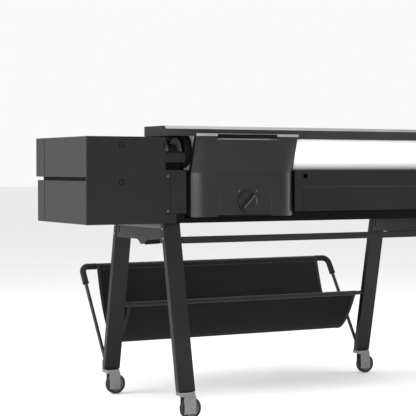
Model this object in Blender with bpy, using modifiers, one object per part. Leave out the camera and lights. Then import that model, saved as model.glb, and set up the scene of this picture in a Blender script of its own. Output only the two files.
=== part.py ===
"""Large format plotter on a wheeled stand, seen from its roll side at -Y.

World frame: metres, +X along the machine, +Z up, -Y the side where the roll is loaded,
+Y the side where the print comes out. The origin is on the floor under the middle of
the whole machine.
"""

import math

import bmesh
import bpy
from mathutils import Matrix, Vector

# Driving dimensions.
WIDTH = 1.802            # overall length along X
BODY_BOTTOM = 0.663      # underside of the machine body
BODY_TOP = 0.959         # top of the end housings
TOP = 0.998              # top of the roll cover
NEAR_FACE = -0.3568      # Y of the roll-side face
UPPER_DEPTH = 0.459      # depth of the upper covers, from the roll-side face
LOWER_DEPTH = 0.444      # depth of the lower covers
LEFT_WIDTH = 0.291       # width of the left housing, which parks the carriage
RIGHT_WIDTH = 0.152      # width of the right housing, which holds the ink
GROOVE = (0.810, 0.822)  # shadow gap between the lower and the upper covers
WALL = 0.003             # wall of the plastic covers
SHEET = 0.002            # wall of the folded steel
GAP = 0.0005             # clearance between neighbours

# Paper roll and spindle.
ROLL_DEPTH = 0.100
ROLL_HEIGHT = 0.9145
ROLL_RADIUS = 0.070
CORE_RADIUS = 0.0258
ROLL_SPAN = (0.425, 1.543)

# Stand.
LEG_SPAN = (0.297, 0.360)     # the left A-frame along X, from the left end
LEG_DEPTH = 0.022
LEG_LEAN = math.radians(11.4)
NEAR_LEG_TOP = 0.040
FAR_LEG_TOP = 0.420
LEG_BOTTOM = 0.095
WHEEL_RADIUS = 0.0375
WHEEL_WIDTH = 0.024
CASTER_TRAIL = 0.018

# Trim bin.
BAY_SPAN = (0.372, 0.8085)     # the recess of the trim bin in the roll bay
BIN_SPAN = (0.3932, 0.8050)
BIN_BOTTOM = 0.6825
BIN_BOX_TOP = 0.828
BIN_BEND = 0.8360
BIN_LIP = 0.961
BIN_FRONT = -0.008
BIN_BACK = 0.115
BIN_FLARE = 0.024
BIN_CURVE = 0.096              # radius of the front's curved ends
BIN_TURN = math.radians(35)    # how far the front has turned at its ends
KNOB_ACROSS = 0.611
KNOB_HEIGHT = 0.736

# Basket.
BAR_DEPTH = 0.8005
BAR_HEIGHT = 0.464
BAR_RADIUS = 0.010
BACK_BAR_DEPTH = 0.485
BACK_BAR_HEIGHT = 0.340
BACK_BAR_RADIUS = 0.008
ROD_ACROSS = 0.324
ROD_FOOT = (0.565, 0.105)     # depth and height of the rods' lower ends
ROD_RADIUS = 0.007
FABRIC_SPAN = (0.390, 1.412)

HALF = WIDTH / 2
INNER_LEFT = LEFT_WIDTH
INNER_RIGHT = WIDTH - RIGHT_WIDTH

PARTS = "large_format_plotter"
CUTTERS = "cutters"


def across(distance):
    """X of a point at this distance from the left end."""
    return distance - HALF


def deep(distance):
    """Y of a point at this distance behind the roll-side face."""
    return NEAR_FACE + distance


# ---------------------------------------------------------------- scene set-up


def clear_scene():
    for old in list(bpy.data.objects):
        bpy.data.objects.remove(old, do_unlink=True)
    for name in (PARTS, CUTTERS):
        group = bpy.data.collections.new(name)
        bpy.context.scene.collection.children.link(group)


def make_material(name, colour, roughness, metallic=0.0):
    material = bpy.data.materials.new(name)
    material.use_nodes = True
    shader = material.node_tree.nodes["Principled BSDF"]
    shader.inputs["Base Color"].default_value = (*colour, 1.0)
    shader.inputs["Roughness"].default_value = roughness
    shader.inputs["Metallic"].default_value = metallic
    return material


FINISHES = {
    "cover": ((0.035, 0.035, 0.037), 0.55, 0.0),
    "panel": ((0.030, 0.030, 0.032), 0.60, 0.0),
    "bin": ((0.045, 0.045, 0.047), 0.45, 0.0),
    "steel": ((0.35, 0.36, 0.37), 0.40, 0.9),
    "dark_steel": ((0.035, 0.035, 0.037), 0.50, 0.3),
    "silver": ((0.55, 0.56, 0.57), 0.35, 0.6),
    "black": ((0.012, 0.012, 0.013), 0.50, 0.0),
    "grey": ((0.16, 0.16, 0.17), 0.50, 0.0),
    "paper": ((0.88, 0.88, 0.87), 0.70, 0.0),
    "rubber": ((0.02, 0.02, 0.02), 0.80, 0.0),
    "fabric": ((0.012, 0.012, 0.013), 0.95, 0.0),
    "window": ((0.05, 0.05, 0.06), 0.15, 0.0),
    "screen": ((0.01, 0.012, 0.015), 0.10, 0.0),
}


def collect(obj, name, finish):
    """File an object with the parts, under its name and with its own material."""
    obj.name = name
    obj.data.name = name
    for group in list(obj.users_collection):
        group.objects.unlink(obj)
    bpy.data.collections[PARTS].objects.link(obj)
    obj.data.materials.clear()
    obj.data.materials.append(make_material(name, *FINISHES[finish]))
    return obj


def as_tool(obj):
    """File an object with the cutters, hidden from renders."""
    for group in list(obj.users_collection):
        group.objects.unlink(obj)
    bpy.data.collections[CUTTERS].objects.link(obj)
    obj.hide_render = True
    obj.display_type = "WIRE"
    return obj


# ------------------------------------------------------------- modelling tools


def new_object(bm, location=(0, 0, 0), rotation=(0, 0, 0)):
    mesh = bpy.data.meshes.new("shape")
    bm.to_mesh(mesh)
    bm.free()
    obj = bpy.data.objects.new("shape", mesh)
    obj.location = location
    obj.rotation_euler = rotation
    bpy.context.scene.collection.objects.link(obj)
    return obj


def round_edges(obj, width, segments=2):
    bevel = obj.modifiers.new("rounded edges", "BEVEL")
    bevel.width = width
    bevel.segments = segments
    bevel.limit_method = "ANGLE"
    bevel.angle_limit = math.radians(35)
    return obj


def block(x, y, z, bevel=0.0, segments=2, origin=None):
    """A box between the world limits x, y and z, each a (low, high) pair."""
    centre = Vector((sum(x) / 2, sum(y) / 2, sum(z) / 2))
    place = Vector(origin) if origin else centre
    size = (x[1] - x[0], y[1] - y[0], z[1] - z[0])
    bm = bmesh.new()
    bmesh.ops.create_cube(bm, size=1.0)
    bmesh.ops.transform(bm, matrix=Matrix.Diagonal((*size, 1.0)), verts=bm.verts)
    bmesh.ops.translate(bm, vec=centre - place, verts=bm.verts)
    obj = new_object(bm, place)
    if bevel:
        round_edges(obj, bevel, segments)
    return obj


def bar(radius, span, point, axis, segments=24):
    """A cylinder along X, Y or Z between the two ends in span, through point."""
    middle = list(point)
    middle["XYZ".index(axis)] = sum(span) / 2
    turn = {"X": (0, math.pi / 2, 0), "Y": (math.pi / 2, 0, 0), "Z": (0, 0, 0)}[axis]
    bm = bmesh.new()
    bmesh.ops.create_cone(bm, cap_ends=True, segments=segments, radius1=radius, radius2=radius,
                          depth=span[1] - span[0])
    return shade(new_object(bm, middle, turn))


def shade(obj, angle=35):
    obj.data.shade_smooth()
    obj.data.set_sharp_from_angle(angle=math.radians(angle))
    return obj


def meshed(curve_object):
    """The curve object as a mesh object with its caps welded."""
    bpy.context.view_layer.update()
    graph = bpy.context.evaluated_depsgraph_get()
    mesh = bpy.data.meshes.new_from_object(curve_object.evaluated_get(graph))
    bm = bmesh.new()
    bm.from_mesh(mesh)
    bmesh.ops.remove_doubles(bm, verts=bm.verts, dist=0.00002)
    bm.to_mesh(mesh)
    bm.free()
    obj = bpy.data.objects.new("shape", mesh)
    obj.matrix_world = curve_object.matrix_world
    bpy.context.scene.collection.objects.link(obj)
    bpy.data.objects.remove(curve_object, do_unlink=True)
    return obj


TURNS = {
    "X": (math.pi / 2, 0, math.pi / 2),   # outline is depth, height
    "Y": (math.pi / 2, 0, 0),             # outline is length, height
    "Z": (0, 0, 0),                       # outline is length, depth
}


def prism(outlines, axis, span, origin=(0.0, 0.0)):
    """Flat outlines, given in world metres, extruded along an axis over span.

    Outlines after the first are holes. The object's origin is at the outline point
    given, in the middle of span.
    """
    curve = bpy.data.curves.new("outline", "CURVE")
    curve.dimensions = "2D"
    curve.fill_mode = "BOTH"
    curve.extrude = (span[1] - span[0]) / 2
    for outline in outlines:
        spline = curve.splines.new("POLY")
        spline.points.add(len(outline) - 1)
        for point, (u, v) in zip(spline.points, outline):
            point.co = (u - origin[0], v - origin[1], 0.0, 1.0)
        spline.use_cyclic_u = True
    obj = bpy.data.objects.new("outline", curve)
    middle = sum(span) / 2
    obj.location = {"X": (middle, origin[0], origin[1]),
                    "Y": (origin[0], middle, origin[1]),
                    "Z": (origin[0], origin[1], middle)}[axis]
    obj.rotation_euler = TURNS[axis]
    bpy.context.scene.collection.objects.link(obj)
    return meshed(obj)


def tube(points, radius, resolution=3):
    """A round rod with closed ends through the points."""
    curve = bpy.data.curves.new("path", "CURVE")
    curve.dimensions = "3D"
    curve.bevel_depth = radius
    curve.bevel_resolution = resolution
    curve.use_fill_caps = True
    spline = curve.splines.new("POLY")
    spline.points.add(len(points) - 1)
    for point, place in zip(spline.points, points):
        point.co = (*place, 1.0)
    obj = bpy.data.objects.new("path", curve)
    bpy.context.scene.collection.objects.link(obj)
    return shade(meshed(obj), 50)


def turned(profile, location, axis, segments=32, closed=False):
    """A profile of (radius, distance along the axis) points turned about an axis.

    The profile runs from the high end of its outer side to the low end.
    """
    bm = bmesh.new()
    verts = [bm.verts.new((radius, 0.0, along)) for radius, along in profile]
    for first, second in zip(verts, verts[1:]):
        bm.edges.new((first, second))
    if closed:
        bm.edges.new((verts[-1], verts[0]))
    turn = {"X": (0, math.pi / 2, 0), "Y": (-math.pi / 2, 0, 0), "Z": (0, 0, 0)}[axis]
    obj = new_object(bm, location, turn)
    screw = obj.modifiers.new("turned", "SCREW")
    screw.steps = segments
    screw.render_steps = segments
    screw.use_merge_vertices = True
    screw.merge_threshold = 0.00005
    screw.use_smooth_shade = True
    return obj


def boolean(target, tool, operation):
    modifier = target.modifiers.new(operation.lower(), "BOOLEAN")
    modifier.operation = operation
    modifier.solver = "EXACT"
    modifier.object = as_tool(tool)
    return target


def cut(target, tool):
    return boolean(target, tool, "DIFFERENCE")


def add(target, tool):
    return boolean(target, tool, "UNION")


def arc(centre, radius, start, end, steps):
    """Points on an arc, with its angles in degrees."""
    angles = [math.radians(start + (end - start) * step / steps) for step in range(steps + 1)]
    return [(centre[0] + radius * math.cos(a), centre[1] + radius * math.sin(a)) for a in angles]


def fillet(before, corner, after, radius, steps=5):
    """Points that round the corner between two straight runs."""
    corner = Vector(corner)
    inward = (Vector(before) - corner).normalized()
    outward = (Vector(after) - corner).normalized()
    half = inward.angle(outward) / 2
    centre = corner + (inward + outward).normalized() * radius / math.sin(half)
    first = corner + inward * radius / math.tan(half) - centre
    last = corner + outward * radius / math.tan(half) - centre
    sweep = first.angle_signed(last)
    points = []
    for step in range(steps + 1):
        turned_by = Matrix.Rotation(-sweep * step / steps, 2) @ first
        points.append(tuple(centre + turned_by))
    return points


def world_outline(points, axis):
    """Distances from the left end and the roll-side face turned into world places."""
    if axis == "X":
        return [(deep(u), v) for u, v in points]
    if axis == "Y":
        return [(across(u), v) for u, v in points]
    return [(across(u), deep(v)) for u, v in points]


def sheet_prism(path, span, thickness):
    """A bent sheet: an open path of (depth, height) points drawn out along X."""
    bm = bmesh.new()
    ends = [[bm.verts.new((x, deep(u), v)) for u, v in path] for x in span]
    for low, low_next, high, high_next in zip(ends[0], ends[0][1:], ends[1], ends[1][1:]):
        bm.faces.new((low, low_next, high_next, high))
    obj = new_object(bm)
    solid = obj.modifiers.new("thickness", "SOLIDIFY")
    solid.thickness = thickness
    solid.offset = 1.0
    solid.use_even_offset = True
    return shade(obj, 30)


def span_x(low, high):
    return (across(low), across(high))


def span_y(low, high):
    return (deep(low), deep(high))


# ------------------------------------------------------------------ end housings


def housing(side, width):
    """The rear panel and the two covers of one end housing.

    The left housing starts at the left end, and the right one ends at the right end.
    """
    left = side == "left"

    def xs(outer, inner):
        """Limits given as distances from the housing's own outer end."""
        if left:
            return span_x(outer, inner)
        return span_x(WIDTH - inner, WIDTH - outer)

    foot = 0.042
    outline = [(0, BODY_BOTTOM), (width + foot, BODY_BOTTOM), (width + foot, 0.695),
               (width, 0.695), (width, BODY_TOP), (0, BODY_TOP)]
    if not left:
        outline = [(WIDTH - u, v) for u, v in reversed(outline)]
    panel = prism([world_outline(outline, "Y")], "Y", span_y(0, 0.012))
    round_edges(panel, 0.001, 1)
    mark = 0.126 if left else 0.080
    for height in (0.9315, 0.8057):
        cut(panel, block(xs(mark - 0.009, mark + 0.009), span_y(-0.01, 0.006),
                         (height - 0.010, height + 0.010)))

    hollow = (block(xs(WALL, width - WALL), span_y(0.0155, UPPER_DEPTH - WALL),
                    (GROOVE[1] + WALL, BODY_TOP - WALL)),
              block(xs(0.013, width - 0.013), span_y(0.0155, 0.408), (0.80, 0.83)),
              block(xs(WALL, width - WALL), span_y(0.0155, LOWER_DEPTH - WALL),
                    (BODY_BOTTOM + WALL, GROOVE[0] - WALL)))
    upper = block(xs(0, width), span_y(0.0125, UPPER_DEPTH), (GROOVE[1], BODY_TOP), 0.0025)
    lower = block(xs(0, width), span_y(0.0125, LOWER_DEPTH), (BODY_BOTTOM, GROOVE[0]), 0.0025)
    skirt_bottom = GROOVE[0] + GAP if left else GROOVE[0] - 0.005
    add(upper, block(xs(0.010, width - 0.010), span_y(0.0125, 0.411),
                     (skirt_bottom, GROOVE[1] + 0.004)))
    if not left:
        add(upper, lower)
    for cover in (upper, lower) if left else (upper,):
        for space in hollow:
            cut(cover, space)
    cut(upper, block(xs(width - 0.01, width + 0.01), span_y(0.186, 0.450), (0.825, 0.953)))
    seam = block(xs(-0.002, 0.0015), span_y(0.3764, 0.3776), (0.65, 0.97))
    cut(upper, seam)
    if left:
        cut(lower, seam)
    return panel, upper, lower


def end_housings():
    panel, upper, lower = housing("left", LEFT_WIDTH)
    cut(upper, bar(0.0075, span_y(0.45, 0.465), (across(0.262), 0, 0.900), "Y", 20))
    collect(panel, "left_rear_panel", "panel")
    collect(upper, "left_upper_cover", "cover")
    collect(lower, "left_lower_cover", "cover")

    panel, cover, _ = housing("right", RIGHT_WIDTH)
    cut(cover, block(span_x(1.6585, 1.7925), span_y(0.435, 0.450), (0.6825, 0.7925)))
    for x, z in (((1.7155, 1.7445), (0.697, 0.733)), ((1.7193, 1.7407), (0.7515, 0.7685))):
        aperture = block(span_x(*x), span_y(-0.01, 0.02), z)
        cut(panel, aperture)
        cut(cover, aperture)
    collect(panel, "right_rear_panel", "panel")
    collect(cover, "right_cover", "cover")


# ----------------------------------------------------------------------- chassis


def chassis():
    beam = block(span_x(INNER_LEFT + 0.0025, INNER_RIGHT - 0.0025), span_y(0.0125, 0.430),
                 (BODY_BOTTOM, 0.695))
    cut(beam, block(span_x(INNER_LEFT + 0.0045, INNER_RIGHT - 0.0045), span_y(0.0145, 0.428),
                    (BODY_BOTTOM + SHEET, 0.70)))
    cut(beam, block(span_x(*BAY_SPAN), span_y(0.0, 0.020), (0.679, 0.70)))
    for place, height in ((0.884, 0.6845), (0.972, 0.6814)):
        cut(beam, bar(0.005, span_y(0.0, 0.02), (across(place), 0, height), "Y", 12))
    collect(beam, "base_beam", "dark_steel")

    outline = world_outline([(0.014, 0.697), (0.430, 0.697), (0.430, 0.800), (0.245, 0.800),
                             (0.245, 0.8675), (0.186, 0.8675), (0.186, 0.950), (0.014, 0.950)], "X")
    for side, low in (("left", INNER_LEFT + 0.0015), ("right", INNER_RIGHT - 0.0045)):
        collect(prism([outline], "X", span_x(low, low + WALL)), "side_plate_" + side, "steel")

    panel = block(span_x(0.8440, 1.5800), span_y(0, WALL), (0.697, 0.7838), 0.0008, 1)
    collect(panel, "beam_panel", "panel")


def roll_bay():
    arc_radius = 0.082
    rim = 0.8430
    start = -math.degrees(math.asin((ROLL_HEIGHT - rim) / arc_radius))
    path = [(0.0, 0.697), (0.0, rim)]
    path += arc((ROLL_DEPTH, ROLL_HEIGHT), arc_radius, -180 - start, -20, 12)
    trough = sheet_prism(path, span_x(0.3725, 1.5800), -0.0025)
    cut(trough, block(span_x(*BAY_SPAN), span_y(-0.02, 0.055), (0.68, 0.86)))
    cut(trough, block(span_x(0.8430, 1.6000), span_y(-0.02, 0.010), (0.68, 0.7845)))
    cut(trough, block(span_x(0.845, 0.863), span_y(-0.02, 0.010), (0.817, 0.831)))
    collect(trough, "roll_trough", "panel")

    for side, low, high, inner in (("left", INNER_LEFT + 0.0052, 0.3720, 0.3360),
                                   ("right", 1.5810, INNER_RIGHT - 0.0052, 1.6160)):
        spindle_support(side, low, high, inner)


def spindle_support(side, low, high, step):
    """A moulded block whose cradle holds one end of the spindle."""
    outline = [(0.002, 0.697), (0.165, 0.697), (0.165, 0.910), (0.030, 0.910)]
    outline += arc((0.030, 0.892), 0.018, 100, 180, 4)
    outline += [(0.012, 0.8725), (0.055, 0.8725), (0.055, 0.8455), (0.002, 0.8455)]
    support = prism([world_outline(outline, "X")], "X", span_x(low, high))
    hub_side = (low - 0.01, step) if side == "left" else (step, high + 0.01)
    journal = (deep(ROLL_DEPTH), ROLL_HEIGHT)
    cut(support, bar(0.0375, span_x(*hub_side), (0, *journal), "X", 32))
    cut(support, bar(0.0235, span_x(low - 0.01, high + 0.01), (0, *journal), "X", 32))
    hollow = (low - 0.01, high - 0.004) if side == "left" else (low + 0.004, high + 0.01)
    cut(support, block(span_x(*hollow), span_y(0.006, 0.161), (0.701, 0.841)))
    collect(support, "spindle_support_" + side, "panel")


# --------------------------------------------------------------- spindle and roll


def spindle_and_roll():
    place = (0, deep(ROLL_DEPTH), ROLL_HEIGHT)
    shaft = [(0.0, 1.640), (0.020, 1.640), (0.020, 1.583), (0.011, 1.583), (0.011, 0.4600),
             (0.0245, 0.4550), (0.0245, 0.4225), (0.054, 0.4225), (0.056, 0.4205),
             (0.056, 0.3870), (0.054, 0.3850), (0.030, 0.3800), (0.030, 0.3790),
             (0.045, 0.3790), (0.045, 0.3750), (0.022, 0.3750), (0.022, 0.3340),
             (0.034, 0.3340), (0.034, 0.3300), (0.030, 0.3300), (0.030, 0.3250),
             (0.034, 0.3250), (0.035, 0.3240), (0.035, 0.3010), (0.034, 0.3000), (0.0, 0.3000)]
    spindle = turned([(r, across(x)) for r, x in shaft], place, "X", 32)
    collect(spindle, "spindle", "black")

    hub = [(0.0115, 1.5750), (0.0300, 1.5750), (0.0300, 1.5700), (0.0560, 1.5690),
           (0.0560, 1.5470), (0.0540, 1.5455), (0.0245, 1.5455), (0.0240, 1.5100),
           (0.0115, 1.5100)]
    collect(turned([(r, across(x)) for r, x in hub], place, "X", 32, closed=True),
            "spindle_hub_right", "black")

    low, high = ROLL_SPAN
    roll = [(CORE_RADIUS, high), (ROLL_RADIUS, high), (ROLL_RADIUS, low), (CORE_RADIUS, low)]
    collect(turned([(r, across(x)) for r, x in roll], place, "X", 48, closed=True),
            "paper_roll", "paper")


# ------------------------------------------------------------------- top and front


def roll_cover():
    """The hinged band over the roll, with its bright strip on the sloping edge."""
    length = span_x(INNER_LEFT + 0.002, INNER_RIGHT - 0.002)
    hinge = (deep(0.170), 0.994)
    edge = (0.9877, TOP)
    slope = 0.008
    strip = 0.0028
    outline = [(0.0, 0.9635), (0.170, 0.9635), (0.170, TOP), (slope + strip + 0.0003, TOP),
               (strip + 0.0003, edge[0] - 0.0003), (0.0, edge[0] - 0.0003)]
    cover = prism([world_outline(outline, "X")], "X", length, hinge)
    add(cover, block(span_x(0.430, 1.540), span_y(0.0, 0.012), (0.9565, 0.966)))
    cut(cover, block((length[0] + 0.004, length[1] - 0.004), span_y(0.014, 0.167),
                     (0.94, TOP - WALL)))
    cut(cover, block((length[0] + 0.004, length[1] - 0.004), span_y(0.003, 0.020),
                     (0.966, 0.984)))
    collect(cover, "roll_cover", "cover")
    outline = [(0.0, edge[0]), (strip, edge[0]), (slope + strip, edge[1]), (slope, edge[1])]
    bright = prism([world_outline(outline, "X")], "X", length, hinge)
    collect(bright, "roll_cover_strip", "silver")


def output_side():
    length = span_x(INNER_LEFT + 0.0025, INNER_RIGHT - 0.002)
    path = [(0.178, 0.957), (0.330, 0.953)]
    path += fillet((0.330, 0.953), (0.425, 0.940), (0.455, 0.885), 0.030)
    path += [(0.455, 0.885)]
    window = sheet_prism(path, length, 0.003)
    collect(set_origin(window, (0, deep(0.180), 0.957)), "top_window", "window")

    path = [(0.397, 0.832)]
    path += fillet((0.397, 0.832), (0.4435, 0.830), (0.4435, 0.664), 0.018)
    path += [(0.4435, 0.664)]
    fascia = sheet_prism(path, length, 0.0025)
    collect(fascia, "front_fascia", "cover")


def set_origin(obj, place):
    """Move an object's origin without moving its shape."""
    obj.data.transform(Matrix.Translation(obj.location - Vector(place)))
    obj.location = place
    return obj


# ------------------------------------------------------------------ print engine


def print_engine():
    platen = block(span_x(0.297, 1.644), span_y(0.300, 0.385), (0.802, 0.834), 0.001, 1)
    cut(platen, block(span_x(0.28, 1.66), span_y(0.303, 0.382), (0.79, 0.831)))
    collect(platen, "platen", "black")

    rail = block(span_x(0.012, 1.790), span_y(0.205, 0.240), (0.868, 0.908))
    cut(rail, block(span_x(0.0, 1.80), span_y(0.208, 0.237), (0.871, 0.905)))
    collect(rail, "carriage_rail", "steel")

    carriage = block(span_x(0.060, 0.200), span_y(0.302, 0.394), (0.842, 0.920), 0.002)
    add(carriage, block(span_x(0.070, 0.190), span_y(0.200, 0.310), (0.909, 0.9195)))
    for number in range(3):
        place = 0.078 + number * 0.038
        cut(carriage, block(span_x(place, place + 0.028), span_y(0.315, 0.380), (0.900, 0.93)))
    collect(carriage, "carriage", "black")

    pulley_height = 0.888
    ends = (0.045, 1.760)
    for radius, name in ((0.0139, "outer"), (0.0124, "inner")):
        loop = arc((ends[0], pulley_height), radius, 270, 90, 8)
        loop += arc((ends[1], pulley_height), radius, 90, -90, 8)
        if name == "outer":
            outer = world_outline(loop, "Y")
        else:
            inner = world_outline(loop, "Y")
    belt = prism([outer, inner], "Y", span_y(0.190, 0.197))
    collect(belt, "drive_belt", "rubber")
    for name, place in (("drive", ends[0]), ("idler", ends[1])):
        pulley = turned([(0.0, 0.0045), (0.0118, 0.0045), (0.0118, -0.0045), (0.0, -0.0045)],
                        (across(place), deep(0.1935), pulley_height), "Y", 20)
        collect(pulley, "belt_pulley_" + name, "steel")

    feed = (deep(0.285), 0.8215)
    collect(bar(0.0115, span_x(0.297, 1.644), (0, *feed), "X", 24), "feed_roller", "steel")
    pinch_rollers((0, feed[0], feed[1] + 0.0115 + 0.008 + 0.0004))

    cutter = block(span_x(0.300, 0.335), span_y(0.399, 0.424), (0.838, 0.868), 0.002)
    collect(cutter, "cutter", "black")

    station = block(span_x(0.060, 0.260), span_y(0.300, 0.400), (0.700, 0.838), 0.002)
    for number in range(3):
        place = 0.078 + number * 0.038
        cut(station, block(span_x(place, place + 0.028), span_y(0.315, 0.380), (0.820, 0.85)))
    cut(station, block(span_x(0.064, 0.256), span_y(0.304, 0.396), (0.69, 0.815)))
    collect(station, "service_station", "grey")


def pinch_rollers(place):
    """Seven rubber-faced rollers on one thin shaft, turned as one profile."""
    profile = [(0.0, across(1.620)), (0.003, across(1.620))]
    pitch = 0.180
    for number in range(7):
        high = 1.600 - number * pitch
        low = high - 0.090
        profile += [(0.003, across(high)), (0.008, across(high)),
                    (0.008, across(low)), (0.003, across(low))]
    profile += [(0.003, across(0.320)), (0.0, across(0.320))]
    collect(turned(profile, place, "X", 12), "pinch_rollers", "rubber")


def electronics():
    box = block(span_x(1.656, 1.796), span_y(0.045, 0.225), (0.670, 0.790), 0.001, 1)
    cut(box, block(span_x(1.658, 1.794), span_y(0.047, 0.223), (0.672, 0.80)))
    collect(box, "electronics_box", "steel")

    inlet = block(span_x(1.7160, 1.7440), span_y(-0.001, 0.040), (0.6975, 0.7325), 0.001, 1)
    cut(inlet, block(span_x(1.7190, 1.7410), span_y(-0.01, 0.018), (0.7060, 0.7240)))
    for offset in (-0.007, 0.0, 0.007):
        place = 1.730 + offset
        height = 0.715 + (0.002 if offset == 0.0 else -0.002)
        add(inlet, block(span_x(place - 0.001, place + 0.001), span_y(0.004, 0.020),
                         (height - 0.002, height + 0.002)))
    collect(inlet, "power_inlet", "black")

    pivot = (deep(0.004), 0.760)
    outline = [(0.0120, 0.754), (0.0120, 0.766), (-0.0045, 0.766), (-0.0015, 0.760),
               (-0.0015, 0.754)]
    rocker = prism([world_outline(outline, "X")], "X", span_x(1.7200, 1.7400), pivot)
    collect(rocker, "power_switch", "black")


def ink_system():
    bay = block(span_x(1.656, 1.796), span_y(0.232, 0.4405), (0.680, 0.795))
    slot = 0.031
    for number in range(4):
        low = 1.659 + number * (slot + 0.003)
        cut(bay, block(span_x(low, low + slot), span_y(0.236, 0.46), (0.683, 0.792)))
        cartridge = block(span_x(low + 0.0008, low + slot - 0.0008), span_y(0.238, 0.4480),
                          (0.6838, 0.7912), 0.0015, 1)
        cut(cartridge, block(span_x(low + 0.010, low + slot - 0.010), span_y(0.440, 0.46),
                             (0.772, 0.80)))
        collect(cartridge, "ink_cartridge_%d" % (number + 1), "grey")
    collect(bay, "ink_bay", "black")


def controls():
    hinge = (across(0.145), deep(0.4605), 0.9455)
    panel = block(span_x(0.060, 0.230), span_y(0.4600, 0.4740), (0.848, 0.946), 0.002,
                  origin=hinge)
    cut(panel, block(span_x(0.070, 0.220), span_y(0.4730, 0.480), (0.858, 0.936)))
    collect(panel, "touch_panel", "screen")
    button = bar(0.007, span_y(0.4535, 0.4620), (across(0.262), 0, 0.900), "Y", 20)
    collect(button, "power_button", "silver")


# ---------------------------------------------------------------------- trim bin


def bin_outline():
    """Plan of the bin: curved front ends, small back corners, from the back left."""
    low, high = BIN_SPAN
    back = 0.008
    reach = BIN_CURVE * math.sin(BIN_TURN)
    middle = BIN_FRONT + BIN_CURVE
    turn = math.degrees(BIN_TURN)
    points = arc((low + back, BIN_BACK - back), back, 90, 180, 2)
    points += arc((low + reach, middle), BIN_CURVE, 270 - turn, 270, 8)
    points += arc((high - reach, middle), BIN_CURVE, 270, 270 + turn, 8)
    points += arc((high - back, BIN_BACK - back), back, 0, 90, 2)
    return points


def trim_bin():
    plan = bin_outline()
    rim = 0.025
    front = [number for number, (_, depth) in enumerate(plan) if depth <= rim]
    middle = sum(BIN_SPAN) / 2
    bm = bmesh.new()

    def ring(height, numbers, flared=False):
        """Points of the plan at one height, pushed out and flattened where flared."""
        points = {}
        for number in numbers:
            x, depth = plan[number]
            if flared:
                depth = BIN_FRONT - BIN_FLARE + 0.15 * (depth - BIN_FRONT)
                x = middle + (x - middle) * 0.993
            points[number] = bm.verts.new((across(x), deep(depth), height))
        return points

    def wall(low, high, numbers):
        for first, second in zip(numbers, numbers[1:]):
            bm.faces.new((low[first], low[second], high[second], high[first]))

    everything = list(range(len(plan)))
    base = ring(BIN_BOTTOM, everything)
    top = ring(BIN_BOX_TOP, everything)
    bend = ring(BIN_BEND, front)
    lip = ring(BIN_LIP, front, flared=True)
    wall(base, top, everything + [0])
    wall(top, bend, front)
    wall(bend, lip, front)
    bm.faces.new([base[number] for number in reversed(everything)])
    shell = new_object(bm)
    solid = shell.modifiers.new("thickness", "SOLIDIFY")
    solid.thickness = 0.0025
    solid.offset = -1.0
    solid.use_even_offset = True
    shade(shell, 30)
    cut(shell, bar(0.0070, span_y(-0.03, 0.01), (across(KNOB_ACROSS), 0, KNOB_HEIGHT), "Y", 20))
    cut(shell, block(span_x(0.475, 0.718), span_y(-0.08, -0.02), (0.9515, 0.98)))
    collect(shell, "trim_bin", "bin")

    lip_bar = block(span_x(0.3936, 0.8044), span_y(-0.0345, -0.0295), (BIN_LIP + 0.0022, 0.972),
                    0.001, 1)
    collect(lip_bar, "bin_lip", "silver")
    bin_knob()


def bin_knob():
    """Quarter-turn lock: a dish with a grip bar, its shaft and the tongue behind."""
    centre = (across(KNOB_ACROSS), deep(BIN_FRONT), KNOB_HEIGHT)
    dish = [(0.0, 0.0100), (0.0060, 0.0100), (0.0060, -0.0005), (0.0350, -0.0005),
            (0.0370, -0.0025), (0.0370, -0.0045), (0.0350, -0.0060), (0.0310, -0.0035),
            (0.0, -0.0035)]
    knob = turned(dish, centre, "Y", 32)
    grip = block((-0.0335, 0.0335), (-0.0150, -0.0025), (-0.0055, 0.0055), 0.0015)
    set_origin(grip, (0, 0, 0))
    grip.location = centre
    grip.rotation_euler = (0, -math.radians(45), 0)
    add(knob, grip)
    tongue = block((-0.006, 0.024), (0.0045, 0.0075), (-0.006, 0.006))
    set_origin(tongue, (0, 0, 0))
    tongue.location = centre
    add(knob, tongue)
    collect(knob, "bin_knob", "bin")


# ------------------------------------------------------------------------- stand


def lean(height):
    """How far a leg has spread outwards at this height."""
    return math.tan(LEG_LEAN) * (BODY_BOTTOM - height)


def leg(name, span, top, outward):
    """A leaning rectangular tube, open at its foot."""
    half = LEG_DEPTH / 2 / math.cos(LEG_LEAN)
    high = BODY_BOTTOM - GAP

    def outline(inset, low, head):
        reach = half - inset
        return [(top + outward * lean(low) - reach, low), (top + outward * lean(low) + reach, low),
                (top + outward * lean(head) + reach, head),
                (top + outward * lean(head) - reach, head)]

    tube_wall = prism([world_outline(outline(0, LEG_BOTTOM, high), "X")], "X", span)
    hollow = outline(SHEET, LEG_BOTTOM - 0.02, high - 0.004)
    cut(tube_wall, prism([world_outline(hollow, "X")], "X", (span[0] + SHEET, span[1] - SHEET)))
    collect(tube_wall, name, "dark_steel")


def mirrored(span):
    return (-span[1], -span[0])


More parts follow.
